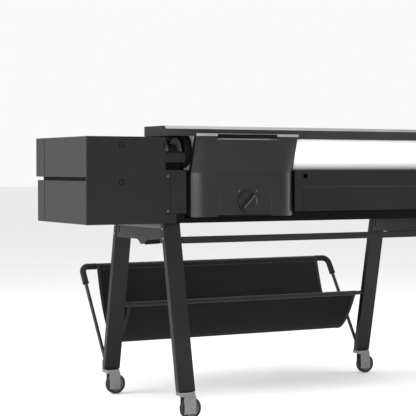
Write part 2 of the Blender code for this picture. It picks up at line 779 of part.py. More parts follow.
def stand():
    left = span_x(*LEG_SPAN)
    for side, span in (("left", left), ("right", mirrored(left))):
        leg("leg_%s_near" % side, span, NEAR_LEG_TOP, -1)
        leg("leg_%s_far" % side, span, FAR_LEG_TOP, 1)

    half = LEG_DEPTH / 2 / math.cos(LEG_LEAN) + GAP
    high = BODY_BOTTOM - GAP
    near = NEAR_LEG_TOP + half
    far = FAR_LEG_TOP - half
    outline = [(near - lean(0.594), 0.594), (0.215, 0.583), (0.235, 0.600),
               (far + lean(0.600), 0.600), (far + lean(high), high), (near - lean(high), high)]
    inner = (left[0] + 0.002, left[1] - 0.002)
    for side, span in (("left", inner), ("right", mirrored(inner))):
        plate = prism([world_outline(outline, "X")], "X", span)
        cut(plate, block((span[0] + 0.003, span[1] - 0.003), span_y(0.060, 0.400),
                         (0.603, 0.70)))
        cut(plate, block((span[0] - 0.01, span[1] + 0.01), span_y(0.390, 0.399),
                         (0.620, 0.642)))
        collect(plate, "stand_bracket_" + side, "dark_steel")

    middle = NEAR_LEG_TOP - lean(0.6035)
    length = (left[1] + GAP, -left[1] - GAP)
    crossbar = block(length, span_y(middle - 0.010, middle + 0.010), (0.592, 0.615), 0.001, 1)
    cut(crossbar, block((length[0] - 0.01, length[1] + 0.01),
                        span_y(middle - 0.008, middle + 0.008), (0.594, 0.613)))
    collect(crossbar, "crossbar", "dark_steel")


def casters():
    """Four swivel casters: a forked bracket with its stem and axle, and a wheel."""
    half_gap = WHEEL_WIDTH / 2 + 0.0015
    outer = half_gap + 0.003
    roof = 2 * WHEEL_RADIUS + 0.004
    outline = [(-outer, 0.020), (-half_gap, 0.020), (-half_gap, roof), (half_gap, roof),
               (half_gap, 0.020), (outer, 0.020), (outer, roof + 0.003), (-outer, roof + 0.003)]
    fork = prism([outline], "X", (-0.012, CASTER_TRAIL + 0.014), (0.0, 0.0))
    fork.location = (CASTER_TRAIL / 2 + 0.001, 0.0, 0.0)
    add(fork, block((-0.025, 0.025), (-0.0250, 0.0250), (roof + 0.002, LEG_BOTTOM - GAP), 0.001, 1))
    add(fork, bar(0.004, (-outer + 0.001, outer - 0.001), (CASTER_TRAIL, 0, WHEEL_RADIUS), "Y", 12))
    bpy.context.view_layer.update()
    graph = bpy.context.evaluated_depsgraph_get()
    fork_mesh = bpy.data.meshes.new_from_object(fork.evaluated_get(graph))
    fork_mesh.transform(fork.matrix_world)
    as_tool(fork)

    edge = WHEEL_WIDTH / 2
    wheel_profile = [(0.0045, edge), (0.012, edge), (0.014, edge - 0.003), (0.026, edge - 0.003),
                     (0.028, edge), (WHEEL_RADIUS - 0.003, edge), (WHEEL_RADIUS, edge - 0.003),
                     (WHEEL_RADIUS, 0.003 - edge), (WHEEL_RADIUS - 0.003, -edge), (0.028, -edge),
                     (0.026, 0.003 - edge), (0.014, 0.003 - edge), (0.012, -edge),
                     (0.0045, -edge)]
    middle = sum(LEG_SPAN) / 2
    spread = lean(LEG_BOTTOM)
    for side, x in (("left", across(middle)), ("right", -across(middle))):
        for row, y in (("near", NEAR_LEG_TOP - spread), ("far", FAR_LEG_TOP + spread)):
            bracket = bpy.data.objects.new("fork", fork_mesh.copy())
            bracket.location = (x, deep(y), 0.0)
            bpy.context.scene.collection.objects.link(bracket)
            collect(bracket, "caster_fork_%s_%s" % (side, row), "steel")
            wheel = turned(wheel_profile, (x + CASTER_TRAIL, deep(y), WHEEL_RADIUS), "Y", 32,
                           closed=True)
            collect(wheel, "caster_wheel_%s_%s" % (side, row), "rubber")


# ------------------------------------------------------------------------ basket


def rod_point(distance):
    """A point this far down a rod from the top bar, as depth and height."""
    top = Vector((BAR_DEPTH, BAR_HEIGHT))
    down = (Vector(ROD_FOOT) - top).normalized()
    return top + down * distance


def basket():
    rod_length = (Vector(ROD_FOOT) - Vector((BAR_DEPTH, BAR_HEIGHT))).length
    top_bar = bar(BAR_RADIUS, span_x(ROD_ACROSS + 0.03, WIDTH - ROD_ACROSS - 0.03),
                  (0, deep(BAR_DEPTH), BAR_HEIGHT), "X", 16)
    elbow_end = 0.075
    bend = 0.026
    back_bar = bar(BACK_BAR_RADIUS, span_x(LEG_SPAN[1] + GAP, WIDTH - LEG_SPAN[1] - GAP),
                   (0, deep(BACK_BAR_DEPTH), BACK_BAR_HEIGHT), "X", 16)
    collect(back_bar, "basket_back_bar", "dark_steel")
    for sign in (1, -1):
        corner_x = sign * across(ROD_ACROSS)
        route = [(corner_x + sign * 0.060, deep(BAR_DEPTH), BAR_HEIGHT)]
        for step in range(6):
            angle = math.radians(90 * step / 5)
            depth, height = rod_point(bend * (1 - math.cos(angle)))
            route.append((corner_x + sign * bend * (1 - math.sin(angle)), deep(depth), height))
        depth, height = rod_point(elbow_end)
        route.append((corner_x, deep(depth), height))
        add(top_bar, tube(route, 0.0125))
        depth, height = rod_point(elbow_end - 0.004)
        foot = rod_point(rod_length)
        rod = tube([(corner_x, deep(depth), height), (corner_x, deep(foot[0]), foot[1])],
                   ROD_RADIUS)
        add(top_bar, rod)
        add(top_bar, block((corner_x - 0.014, corner_x + 0.014), span_y(0.5495, 0.576),
                           (0.098, 0.126), 0.002))
    collect(top_bar, "basket_frame", "black")
    basket_fabric()


def basket_fabric():
    """A sling from the top bar, down towards the legs and up to the back bar."""
    hang = math.radians(26)
    leave = 154
    hem = BAR_RADIUS + 0.0012
    back_hem = BACK_BAR_RADIUS + 0.0012
    path = arc((BAR_DEPTH, BAR_HEIGHT), hem, -60, leave, 12)
    start = Vector(path[-1])
    valley = start + Vector((-math.sin(hang), -math.cos(hang))) * 0.370
    arrive = 32.7
    wrap = arc((BACK_BAR_DEPTH, BACK_BAR_HEIGHT), back_hem, arrive, 230, 9)
    path += fillet(start, valley, wrap[0], 0.060, 7)
    path += wrap
    fabric = sheet_prism(path, span_x(*FABRIC_SPAN), 0.0015)
    collect(fabric, "basket_fabric", "fabric")


def main():
    clear_scene()
    end_housings()
    chassis()
    roll_bay()
    spindle_and_roll()
    roll_cover()
    output_side()
    print_engine()
    electronics()
    ink_system()
    controls()
    trim_bin()
    stand()
    casters()
    basket()


main()
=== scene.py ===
"""Looks of the large format plotter: materials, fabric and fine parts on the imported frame.

Metres, +Z up. Lengths named "across" run from the machine's left end, and lengths
named "deep" run back from its roll-side face, as in the CAD model.
"""

import math

import bmesh
import bpy
from mathutils import Matrix, Vector


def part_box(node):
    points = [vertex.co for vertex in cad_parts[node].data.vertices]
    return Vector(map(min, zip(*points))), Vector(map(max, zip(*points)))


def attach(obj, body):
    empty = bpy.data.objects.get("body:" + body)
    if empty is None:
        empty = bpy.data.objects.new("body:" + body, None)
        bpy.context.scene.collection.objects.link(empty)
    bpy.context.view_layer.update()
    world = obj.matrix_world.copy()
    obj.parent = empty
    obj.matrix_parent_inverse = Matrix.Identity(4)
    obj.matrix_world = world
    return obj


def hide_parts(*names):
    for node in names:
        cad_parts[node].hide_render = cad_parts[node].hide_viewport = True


WIDTH = 1.802
NEAR_FACE = -0.3568

ROLL_DEPTH = 0.100
ROLL_HEIGHT = 0.9145
ROLL_RADIUS = 0.070
CORE_RADIUS = 0.0258
CORE_WALL = 0.003
ROLL_SPAN = (0.425, 1.543)

BIN_SPAN = (0.3932, 0.8050)
BIN_FRONT = -0.008
BIN_CURVE = 0.096
BIN_TURN = 35
KNOB = (0.611, 0.736)

BAR_DEPTH = 0.8005
BAR_HEIGHT = 0.464
BAR_RADIUS = 0.010
BACK_BAR_DEPTH = 0.485
BACK_BAR_HEIGHT = 0.340
BACK_BAR_RADIUS = 0.008
ROD_ACROSS = 0.324
ROD_FOOT = (0.565, 0.105)
ROD_RADIUS = 0.007
FABRIC_SPAN = (0.390, 1.412)
FABRIC_HANG = math.radians(26)
FABRIC_DROP = 0.370
FABRIC_THICKNESS = 0.0010
CLOTH = {"quality": 6, "mass": 0.25, "tension_stiffness": 60, "compression_stiffness": 40,
         "shear_stiffness": 20, "bending_stiffness": 3.0, "air_damping": 4.0}

LEG_TOPS = ((0.040, -1), (0.420, 1))
LEG_LEAN = 0.2016
LEG_TOP_HEIGHT = 0.663
FOOT_SHIFT = 0.1145

WHEEL_RADIUS = 0.0375
WHEEL_WIDTH = 0.024

CAMERA_PLACE = (-2.7256, -4.5562, 0.851)
CAMERA_PITCH = 1.64
CAMERA_AZIMUTH = -28.5
CAMERA_LENS = 119.25


def across(distance):
    """X of a place this far from the machine's left end."""
    return distance - WIDTH / 2


def deep(distance):
    """Y of a place this far behind the roll-side face."""
    return NEAR_FACE + distance


def place(x, depth, height):
    """World point from across, deep and height."""
    return Vector((across(x), deep(depth), height))


def spans(node):
    """What a CAD node takes up across, deep and in height."""
    low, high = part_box(node)
    return ((low.x + WIDTH / 2, high.x + WIDTH / 2), (low.y - NEAR_FACE, high.y - NEAR_FACE),
            (low.z, high.z))


# ---------------- materials


def add(tree, kind, inputs=None, **settings):
    """A shader node with its settings, and with values or links on its inputs."""
    made = tree.nodes.new("ShaderNode" + kind)
    for key, value in settings.items():
        setattr(made, key, value)
    for key, value in (inputs or {}).items():
        if isinstance(value, bpy.types.NodeSocket):
            tree.links.new(value, made.inputs[key])
        else:
            made.inputs[key].default_value = value
    return made


def blank(name, roughness, metallic=0.0, specular=0.5):
    """A material with its shader, and the place on the object as coordinates."""
    material = bpy.data.materials.new(name)
    material.use_nodes = True
    tree = material.node_tree
    shader = tree.nodes["Principled BSDF"]
    shader.inputs["Roughness"].default_value = roughness
    shader.inputs["Metallic"].default_value = metallic
    shader.inputs["Specular IOR Level"].default_value = specular
    return material, tree, shader, add(tree, "TexCoord").outputs["Object"]


def scaled(tree, coordinates, scale, location=(0, 0, 0)):
    """Coordinates stretched and shifted."""
    inputs = {"Vector": coordinates, "Scale": scale, "Location": location}
    return add(tree, "Mapping", inputs).outputs["Vector"]


def noise(tree, vector, scale, detail=2.0, roughness=0.5):
    """Noise value from 0 to 1, centred on a half."""
    inputs = {"Vector": vector, "Scale": scale, "Detail": detail, "Roughness": roughness}
    return add(tree, "TexNoise", inputs).outputs["Fac"]


def remap(tree, value, low, high, start=0.3, end=0.7):
    """A value carried from one range to another, clamped."""
    inputs = {"Value": value, "From Min": start, "From Max": end, "To Min": low, "To Max": high}
    return add(tree, "MapRange", inputs).outputs["Result"]


def math_node(tree, operation, first, second):
    """One arithmetic operation on two values or links."""
    return add(tree, "Math", {0: first, 1: second}, operation=operation).outputs["Value"]


def mix(tree, factor, first, second):
    """A colour between two, each a colour or a link."""
    made = add(tree, "Mix", {"Factor": factor}, data_type="RGBA")
    for socket, value in ((made.inputs[6], first), (made.inputs[7], second)):
        if isinstance(value, bpy.types.NodeSocket):
            tree.links.new(value, socket)
        else:
            socket.default_value = (*value, 1.0)
    return made.outputs[2]


def tone(colour, factor):
    """The colour made lighter or darker."""
    return tuple(min(channel * factor, 1.0) for channel in colour)


def edge_mask(tree, radius, gain):
    """1 on sharp outer edges within a radius, 0 on flat faces."""
    rounded = add(tree, "Bevel", {"Radius": radius}, samples=4).outputs["Normal"]
    flat = tree.nodes.new("ShaderNodeNewGeometry").outputs["Normal"]
    along = add(tree, "VectorMath", {0: rounded, 1: flat}, operation="DOT_PRODUCT")
    bent = math_node(tree, "SUBTRACT", 1.0, along.outputs["Value"])
    return add(tree, "Math", {0: bent, 1: gain}, operation="MULTIPLY",
               use_clamp=True).outputs["Value"]


def bump(tree, shader, height, distance, strength=0.8):
    """Raises the surface by a height pattern, this far in metres."""
    inputs = {"Height": height, "Distance": distance, "Strength": strength}
    tree.links.new(add(tree, "Bump", inputs).outputs["Normal"], shader.inputs["Normal"])


def grained(name, colour, roughness, grain, depth, variation=0.16, wear_and_edge_highlight=0.0, metallic=0.0,
            specular=0.5, stretch=(1.0, 1.0, 1.0)):
    """Moulded, painted or brushed surface: grain, patches of tone and shine, and edges lightened
    partly as rubbed paint and partly as a painted edge highlight.
    """
    material, tree, shader, spot = blank(name, roughness, metallic, specular)
    along = scaled(tree, spot, stretch)
    fine = noise(tree, along, 1.0 / grain, 3.0, 0.6)
    broad = noise(tree, spot, 7.0, 4.0)
    patches = remap(tree, broad, 0.0, 1.0)
    body = mix(tree, patches, tone(colour, 1 - variation), tone(colour, 1 + variation))
    body = mix(tree, remap(tree, fine, 0.0, 0.35), body, tone(colour, 1.5))
    # Lighter outer edges: partly rubbed paint, partly a painted highlight for light caught on
    # rounded edges.
    if wear_and_edge_highlight:
        worn_and_lit_edges = math_node(tree, "MULTIPLY", edge_mask(tree, 0.0014, 3.0),
                         remap(tree, broad, 0.35, 1.0))
        body = mix(tree, math_node(tree, "MULTIPLY", worn_and_lit_edges, wear_and_edge_highlight), body, tone(colour, 5.0))
    tree.links.new(body, shader.inputs["Base Color"])
    shine = math_node(tree, "ADD", remap(tree, fine, -0.05, 0.05),
                      remap(tree, broad, roughness - 0.05, roughness + 0.05))
    tree.links.new(shine, shader.inputs["Roughness"])
    bump(tree, shader, fine, depth)
    return material


def woven(name, colour, pitch, sheen=0.3):
    """Plain weave along the sheet's own width and length, with slubs and faded patches."""
    material, tree, shader, spot = blank(name, 0.85, 0.0, 0.08)
    shader.inputs["Sheen Weight"].default_value = sheen
    shader.inputs["Sheen Roughness"].default_value = 0.5
    flat = add(tree, "TexCoord").outputs["UV"]
    scale = 0.314 / pitch
    settings = {"Vector": flat, "Scale": scale, "Distortion": 0.6, "Detail": 1.0,
                "Detail Scale": 0.4}
    warp = add(tree, "TexWave", settings, bands_direction="X").outputs["Fac"]
    weft = add(tree, "TexWave", settings, bands_direction="Y").outputs["Fac"]
    threads = math_node(tree, "MAXIMUM", warp, weft)
    crossing = math_node(tree, "MULTIPLY", warp, weft)
    fuzz = noise(tree, flat, 1.0 / (pitch * 0.5), 3.0, 0.7)
    faded = noise(tree, spot, 5.0, 4.0)
    body = mix(tree, remap(tree, faded, 0.0, 1.0), tone(colour, 0.75), tone(colour, 1.3))
    body = mix(tree, math_node(tree, "MULTIPLY", crossing, 0.6), body, tone(colour, 1.9))
    body = mix(tree, remap(tree, fuzz, 0.0, 0.4, 0.5, 0.8), body, tone(colour, 2.4))
    tree.links.new(body, shader.inputs["Base Color"])
    tree.links.new(remap(tree, threads, 0.96, 0.78, 0.0, 1.0), shader.inputs["Roughness"])
    height = math_node(tree, "ADD", threads, math_node(tree, "MULTIPLY", fuzz, 0.5))
    bump(tree, shader, height, pitch * 0.35)
    return material


def paper_face(name):
    """Coated paper: faint fibre, long soft shadows of the winding."""
    material, tree, shader, spot = blank(name, 0.55, 0.0, 0.3)
    fibre = noise(tree, spot, 900.0, 4.0, 0.7)
    bands = noise(tree, scaled(tree, spot, (1.0, 12.0, 12.0)), 1.4, 2.0)
    body = mix(tree, remap(tree, fibre, 0.0, 0.5), (0.90, 0.905, 0.91), (0.84, 0.84, 0.84))
    body = mix(tree, remap(tree, bands, 0.0, 0.25), body, (0.74, 0.745, 0.755))
    tree.links.new(body, shader.inputs["Base Color"])
    tree.links.new(remap(tree, fibre, 0.48, 0.64), shader.inputs["Roughness"])
    bump(tree, shader, fibre, 0.00003, 0.5)
    return material


def wound_end(name, light, dark, pitch):
    """Edges of wound layers as irregular rings round the roll's axis."""
    material, tree, shader, spot = blank(name, 0.8, 0.0, 0.2)
    centred = scaled(tree, spot, (0.0, 1.0, 1.0),
                     (0.0, -deep(ROLL_DEPTH), -ROLL_HEIGHT))
    radius = add(tree, "VectorMath", {0: centred}, operation="LENGTH").outputs["Value"]
    rings = add(tree, "TexNoise", {"W": radius, "Scale": 1.0 / pitch, "Detail": 3.0},
                noise_dimensions="1D").outputs["Fac"]
    fibre = noise(tree, spot, 700.0, 3.0)
    body = mix(tree, remap(tree, rings, 0.0, 1.0), dark, light)
    body = mix(tree, remap(tree, fibre, 0.0, 0.3), body, dark)
    tree.links.new(body, shader.inputs["Base Color"])
    tree.links.new(remap(tree, rings, 0.7, 0.9), shader.inputs["Roughness"])
    bump(tree, shader, rings, 0.0003)
    return material


def glossy(name, colour, coat):
    """Smooth dark glass with faint wipe marks, dust and a tone that drifts."""
    material, tree, shader, spot = blank(name, 0.08, 0.0, 0.5)
    shader.inputs["Coat Weight"].default_value = coat
    shader.inputs["Coat Roughness"].default_value = 0.05
    smears = noise(tree, scaled(tree, spot, (1.0, 4.0, 1.5)), 9.0, 5.0)
    dust = noise(tree, spot, 420.0, 2.0)
    body = mix(tree, remap(tree, smears, 0.0, 1.0), tone(colour, 0.85), tone(colour, 1.2))
    tree.links.new(body, shader.inputs["Base Color"])
    marks = math_node(tree, "ADD", remap(tree, smears, 0.03, 0.16),
                      remap(tree, dust, 0.0, 0.10, 0.55, 0.8))
    tree.links.new(marks, shader.inputs["Roughness"])
    bump(tree, shader, smears, 0.00006, 0.3)
    return material


def tinted(name, colour, alpha):
    """Thin smoked sheet: see-through, with wipe marks in its shine."""
    material, tree, shader, spot = blank(name, 0.06, 0.0, 0.5)
    shader.inputs["Alpha"].default_value = alpha
    shader.inputs["Coat Weight"].default_value = 0.6
    shader.inputs["Coat Roughness"].default_value = 0.04
    smears = noise(tree, scaled(tree, spot, (1.0, 3.0, 1.5)), 6.0, 4.0)
    body = mix(tree, remap(tree, smears, 0.0, 1.0), tone(colour, 0.8), tone(colour, 1.25))
    tree.links.new(body, shader.inputs["Base Color"])
    tree.links.new(remap(tree, smears, 0.04, 0.14), shader.inputs["Roughness"])
    return material


def make_materials():
    """Every finish by name."""
    return {
        "cover": grained("cover_paint", (0.0093, 0.0093, 0.0098), 0.50, 0.0009, 0.00006,
                         wear_and_edge_highlight=0.25, specular=0.24),
        "panel": grained("panel_paint", (0.0066, 0.0066, 0.0070), 0.58, 0.0008, 0.00006,
                         wear_and_edge_highlight=0.2, specular=0.09),
        "lid": grained("roll_cover_paint", (0.0118, 0.0118, 0.0122), 0.54, 0.0008, 0.00006,
                       wear_and_edge_highlight=0.2, specular=0.14),
        "bin": grained("bin_plastic", (0.0066, 0.0066, 0.0069), 0.40, 0.0007, 0.00005,
                       wear_and_edge_highlight=0.3, specular=0.18),
        "beam": grained("beam_paint", (0.0022, 0.0022, 0.0024), 0.60, 0.0010, 0.00006,
                        wear_and_edge_highlight=0.2, specular=0.03),
        # The legs' strong edge lightening is partly rubbed paint, partly a painted highlight along
        # their lit edges.
        "leg": grained("leg_powder_coat", (0.0014, 0.0014, 0.0015), 0.42, 0.0013, 0.00009,
                       wear_and_edge_highlight=0.5, specular=0.24),
        "bracket": grained("bracket_powder_coat", (0.0130, 0.0130, 0.0134), 0.50, 0.0013,
                           0.00009, wear_and_edge_highlight=0.35, specular=0.25),
        "steel": grained("zinc_plate", (0.16, 0.165, 0.17), 0.36, 0.0016, 0.00004,
                         wear_and_edge_highlight=0.1, metallic=0.95),
        "rod": grained("satin_rod", (0.015, 0.015, 0.016), 0.42, 0.0010, 0.00003, metallic=0.7,
                       stretch=(1.0, 1.0, 0.05)),
        "silver": grained("brushed_aluminium", (0.17, 0.172, 0.175), 0.38, 0.0006, 0.00003,
                          metallic=0.4, specular=0.3, stretch=(0.03, 1.0, 1.0)),
        "black": grained("black_plastic", (0.0050, 0.0050, 0.0053), 0.46, 0.0006, 0.00005,
                         wear_and_edge_highlight=0.25, specular=0.10),
        # Near-black fill for seams, slots, holes and recesses: painted shadow inside them.
        "painted_shadow": grained("shadow_gap", (0.0020, 0.0020, 0.0021), 0.75, 0.0008, 0.00003,
                        specular=0.05),
        "grey": grained("grey_plastic", (0.055, 0.056, 0.058), 0.45, 0.0007, 0.00005,
                        wear_and_edge_highlight=0.1),
        "light_grey": grained("light_grey_plastic", (0.15, 0.15, 0.155), 0.45, 0.0007, 0.00004),
        # Lighter copy of the bracket's coat, used on the bracket flanges as a painted highlight.
        "flange_highlight": grained("bracket_flange_painted_highlight", (0.050, 0.050, 0.052), 0.44, 0.0007, 0.00005,
                       wear_and_edge_highlight=0.15, specular=0.4),
        "rubber": grained("rubber", (0.0110, 0.0110, 0.0110), 0.80, 0.0011, 0.00012,
                          variation=0.4, wear_and_edge_highlight=0.3, specular=0.2),
        "belt": grained("toothed_belt", (0.0120, 0.0120, 0.0125), 0.70, 0.0008, 0.00008,
                        specular=0.2),
        "paper": paper_face("coated_paper"),
        "paper_end": wound_end("wound_paper", (0.78, 0.78, 0.77), (0.50, 0.50, 0.50), 0.0007),
        "core": wound_end("cardboard_core", (0.40, 0.30, 0.20), (0.25, 0.18, 0.11), 0.0009),
        "fabric": woven("basket_weave", (0.0042, 0.0042, 0.0045), 0.0011, 0.02),
        # Lighter than the sling: partly the hem's own webbing, partly painted light for the
        # rounded hem lit from above.
        "hem": woven("basket_hem_weave_painted_light", (0.0100, 0.0100, 0.0105), 0.0009, 0.10),
        "thread": grained("stitching", (0.030, 0.030, 0.031), 0.7, 0.0004, 0.00008),
        "window": tinted("tinted_window", (0.014, 0.015, 0.017), 0.88),
        "screen": glossy("touch_glass", (0.006, 0.007, 0.009), 1.0),
    }


# ---------------- mesh tools


def to_object(name, bm, material, angle=35):
    """An object of the mesh, smooth but for edges sharper than an angle."""
    mesh = bpy.data.meshes.new(name)
    bmesh.ops.recalc_face_normals(bm, faces=bm.faces)
    bm.to_mesh(mesh)
    bm.free()
    mesh.materials.append(material)
    mesh.shade_smooth()
    mesh.set_sharp_from_angle(angle=math.radians(angle))
    obj = bpy.data.objects.new(name, mesh)
    bpy.context.scene.collection.objects.link(obj)
    return obj


def piece(name, bm, finish, body, replaces=()):
    """A finished piece that rides on a CAD body, and stands for CAD nodes if any."""
    obj = to_object(name, bm, MATERIALS[finish])
    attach(obj, body)
    if replaces:
        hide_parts(*replaces)
    return obj


def box(bm, x, depth, height, bevel=0.0, turn=None):
    """A box over the spans given in across, deep and height, turned about its middle."""
    low = place(x[0], depth[0], height[0])
    high = place(x[1], depth[1], height[1])
    size = high - low
    matrix = Matrix.Translation((low + high) / 2)
    if turn:
        matrix = matrix @ Matrix.Rotation(math.radians(turn[1]), 4, turn[0])
    matrix = matrix @ Matrix.Diagonal((*size, 1.0))
    made = bmesh.ops.create_cube(bm, size=1.0, matrix=matrix)
    if bevel:
        edges = list({edge for vert in made["verts"] for edge in vert.link_edges})
        bmesh.ops.bevel(bm, geom=edges, offset=bevel, segments=2, profile=0.5,
                        affect="EDGES", clamp_overlap=True)


def slab(bm, x, outline):
    """Flat plate across a span of x, with an outline of depths and heights."""
    sides = [[bm.verts.new(place(end, depth, height)) for depth, height in outline] for end in x]
    bm.faces.new(sides[0])
    bm.faces.new(list(reversed(sides[1])))
    skin(bm, sides)


def skin(bm, rings):
    """Joins each ring of points to the next; a ring of one repeated point is a tip."""
    for first, second in zip(rings, rings[1:]):
        for corners in zip(first, first[1:] + first[:1], second[1:] + second[:1], second):
            bm.faces.new(list(dict.fromkeys(corners)))


AXES = {
    "X": Matrix(((0, 0, 1), (1, 0, 0), (0, 1, 0))),
    "Y": Matrix(((1, 0, 0), (0, 0, 1), (0, 1, 0))),
    "Z": Matrix(((1, 0, 0), (0, 1, 0), (0, 0, 1))),
}


def turned(bm, profile, centre, axis="X", steps=48, lobes=None):
    """A shape turned about an axis from (radius, place along) points.

    lobes(number of the point, angle) scales the radius, for ribs and recesses.
    """
    to_world = AXES[axis]
    rings = []
    for number, (radius, along) in enumerate(profile):
        if radius == 0:
            rings.append([bm.verts.new(centre + to_world @ Vector((0, 0, along)))] * steps)
            continue
        ring = []
        for step in range(steps):
            angle = 2 * math.pi * step / steps
            reach = radius * (lobes(number, angle) if lobes else 1.0)
            point = Vector((reach * math.cos(angle), reach * math.sin(angle), along))
            ring.append(bm.verts.new(centre + to_world @ point))
        rings.append(ring)
    skin(bm, rings)
    return rings


def bore(bm, rings):
    """Joins the last ring of a turned shape to its first."""
    skin(bm, [rings[-1], rings[0]])


def swept(bm, points, section):
    """A closed bar with this (sideways, upwards) section swept through the points."""
    rings = []
    upward = Vector((0, 0, 1))
    for number, point in enumerate(points):
        before = points[max(number - 1, 0)]
        after = points[min(number + 1, len(points) - 1)]
        heading = (after - before).normalized()
        if abs(heading.dot(upward)) > 0.95:
            upward = Vector((0, 1, 0))
        side = heading.cross(upward).normalized()
        upward = side.cross(heading).normalized()
        rings.append([bm.verts.new(point + side * u + upward * v) for u, v in section])
    skin(bm, rings)
    bm.faces.new(list(reversed(rings[0])))
    bm.faces.new(rings[-1])


def circle(radius, sides=12):
    """Round section for a swept bar."""
    return [(radius * math.cos(2 * math.pi * step / sides),
             radius * math.sin(2 * math.pi * step / sides)) for step in range(sides)]


def oblong(half, low, high):
    """Flat section for a swept bar."""
    return [(-half, low), (half, low), (half, high), (-half, high)]


def arc(centre, radius, start, end, steps):
    """Points (depth, height) on an arc, its angles in degrees."""
    points = []
    for step in range(steps + 1):
        angle = math.radians(start + (end - start) * step / steps)
        points.append((centre[0] + radius * math.cos(angle),
                       centre[1] + radius * math.sin(angle)))
    return points


def cross_recess(number, angle):
    """Narrows the inner rings of a screw head to a cross."""
    if number < 3:
        return 1.0
    return 1.0 if abs(math.cos(2 * angle)) > 0.9 else 0.35


def screws(name, body, spots, finish="steel", head=0.0032):
    """Pan head screws; each spot is across, deep, height and which way the head looks."""
    bm = bmesh.new()
    profile = [(head, 0.0), (head, 0.4 * head), (0.75 * head, 0.62 * head),
               (0.50 * head, 0.64 * head), (0.44 * head, 0.25 * head), (0.0, 0.25 * head)]
    for x, depth, height, axis, sign in spots:
        flipped = [(radius, sign * along) for radius, along in profile]
        turned(bm, flipped, place(x, depth, height), axis, 24, cross_recess)
    piece(name, bm, finish, body)


# ---------------- roll and cover

CAD_FINISHES = {
    "cover": ("left_upper_cover", "left_lower_cover", "right_cover", "front_fascia"),
    "panel": ("left_rear_panel", "right_rear_panel", "beam_panel", "roll_trough",
              "spindle_support_left", "spindle_support_right"),
    "lid": ("roll_cover",),
    "beam": ("base_beam", "side_plate_left", "side_plate_right", "electronics_box"),
    "bin": ("trim_bin", "bin_knob"),
    "leg": ("leg_left_near", "leg_left_far", "leg_right_near", "leg_right_far", "crossbar"),
    "bracket": ("stand_bracket_left", "stand_bracket_right"),
    "silver": ("roll_cover_strip", "power_button"),
    "steel": ("carriage_rail", "cutter", "belt_pulley_drive", "belt_pulley_idler",
              "caster_fork_left_near", "caster_fork_left_far", "caster_fork_right_near",
              "caster_fork_right_far"),
    "rod": ("basket_back_bar",),
    "black": ("power_inlet", "power_switch", "ink_bay", "platen", "service_station",
              "carriage", "spindle_hub_right"),
    "rubber": ("feed_roller", "pinch_rollers"),
    "belt": ("drive_belt",),
    "grey": ("ink_cartridge_1", "ink_cartridge_2", "ink_cartridge_3", "ink_cartridge_4"),
    "window": ("top_window",),
}


def finish_cad_nodes():
    """Gives each carried CAD node its procedural finish."""
    for finish, names in CAD_FINISHES.items():
        for name in names:
            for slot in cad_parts[name].material_slots:
                slot.material = MATERIALS[finish]


def roll_axis(x):
    """Point on the paper roll's axis at this distance across."""
    return place(x, ROLL_DEPTH, ROLL_HEIGHT)


def paper_roll():
    """The wound sheet, its ragged ends, the cardboard core and the loose front edge."""
    low, high = ROLL_SPAN
    bm = bmesh.new()
    turned(bm, [(ROLL_RADIUS - 0.0008, low + 0.0004), (ROLL_RADIUS, low + 0.0012),
                (ROLL_RADIUS, high - 0.0012), (ROLL_RADIUS - 0.0008, high - 0.0004)],
           roll_axis(0), "X", 128)
    piece("wound_paper", bm, "paper", "roll", ["paper_roll"])
    for name, face, inward in (("left", low, 1), ("right", high, -1)):
        bm = bmesh.new()
        steps = 26
        profile = []
        inner, outer = CORE_RADIUS + CORE_WALL, ROLL_RADIUS - 0.0008
        for step in range(steps + 1):
            radius = inner + (outer - inner) * step / steps
            slip = 0.0005 * math.sin(step * 1.7) * math.sin(step * 0.45)
            profile.append((radius, face + inward * (0.0006 + slip)))
        turned(bm, profile, roll_axis(0), "X", 96)
        piece("roll_end_" + name, bm, "paper_end", "roll")
    bm = bmesh.new()
    outer = CORE_RADIUS + CORE_WALL
    rings = turned(bm, [(outer, low + 0.0002), (outer, high - 0.0002),
                        (CORE_RADIUS, high - 0.0002), (CORE_RADIUS, low + 0.0002)],
                   roll_axis(0), "X", 64)
    bore(bm, rings)
    piece("roll_core", bm, "core", "roll")
    loose_edge()


def loose_edge():
    """The front edge of the wound sheet, lifting a little from the roll."""
    low, high = ROLL_SPAN
    bm = bmesh.new()
    rows = []
    for step in range(13):
        angle = math.radians(198 - 26 * step / 12)
        reach = ROLL_RADIUS + 0.0002 + 0.0016 * max(0.0, (step - 5) / 7) ** 2
        depth = ROLL_DEPTH + reach * math.cos(angle)
        height = ROLL_HEIGHT - reach * math.sin(angle)
        rows.append([bm.verts.new(place(x, depth, height)) for x in (low + 0.001, high - 0.001)])
    for first, second in zip(rows, rows[1:]):
        bm.faces.new([first[0], first[1], second[1], second[0]])
    edge = piece("loose_paper_edge", bm, "paper", "roll")
    thicken = edge.modifiers.new("thickness", "SOLIDIFY")
    thicken.thickness = 0.00025


def hub_ribs(number, angle):
    """Twelve finger ribs round the grip of a spindle hub."""
    return 1.0 + 0.035 * math.cos(12 * angle)


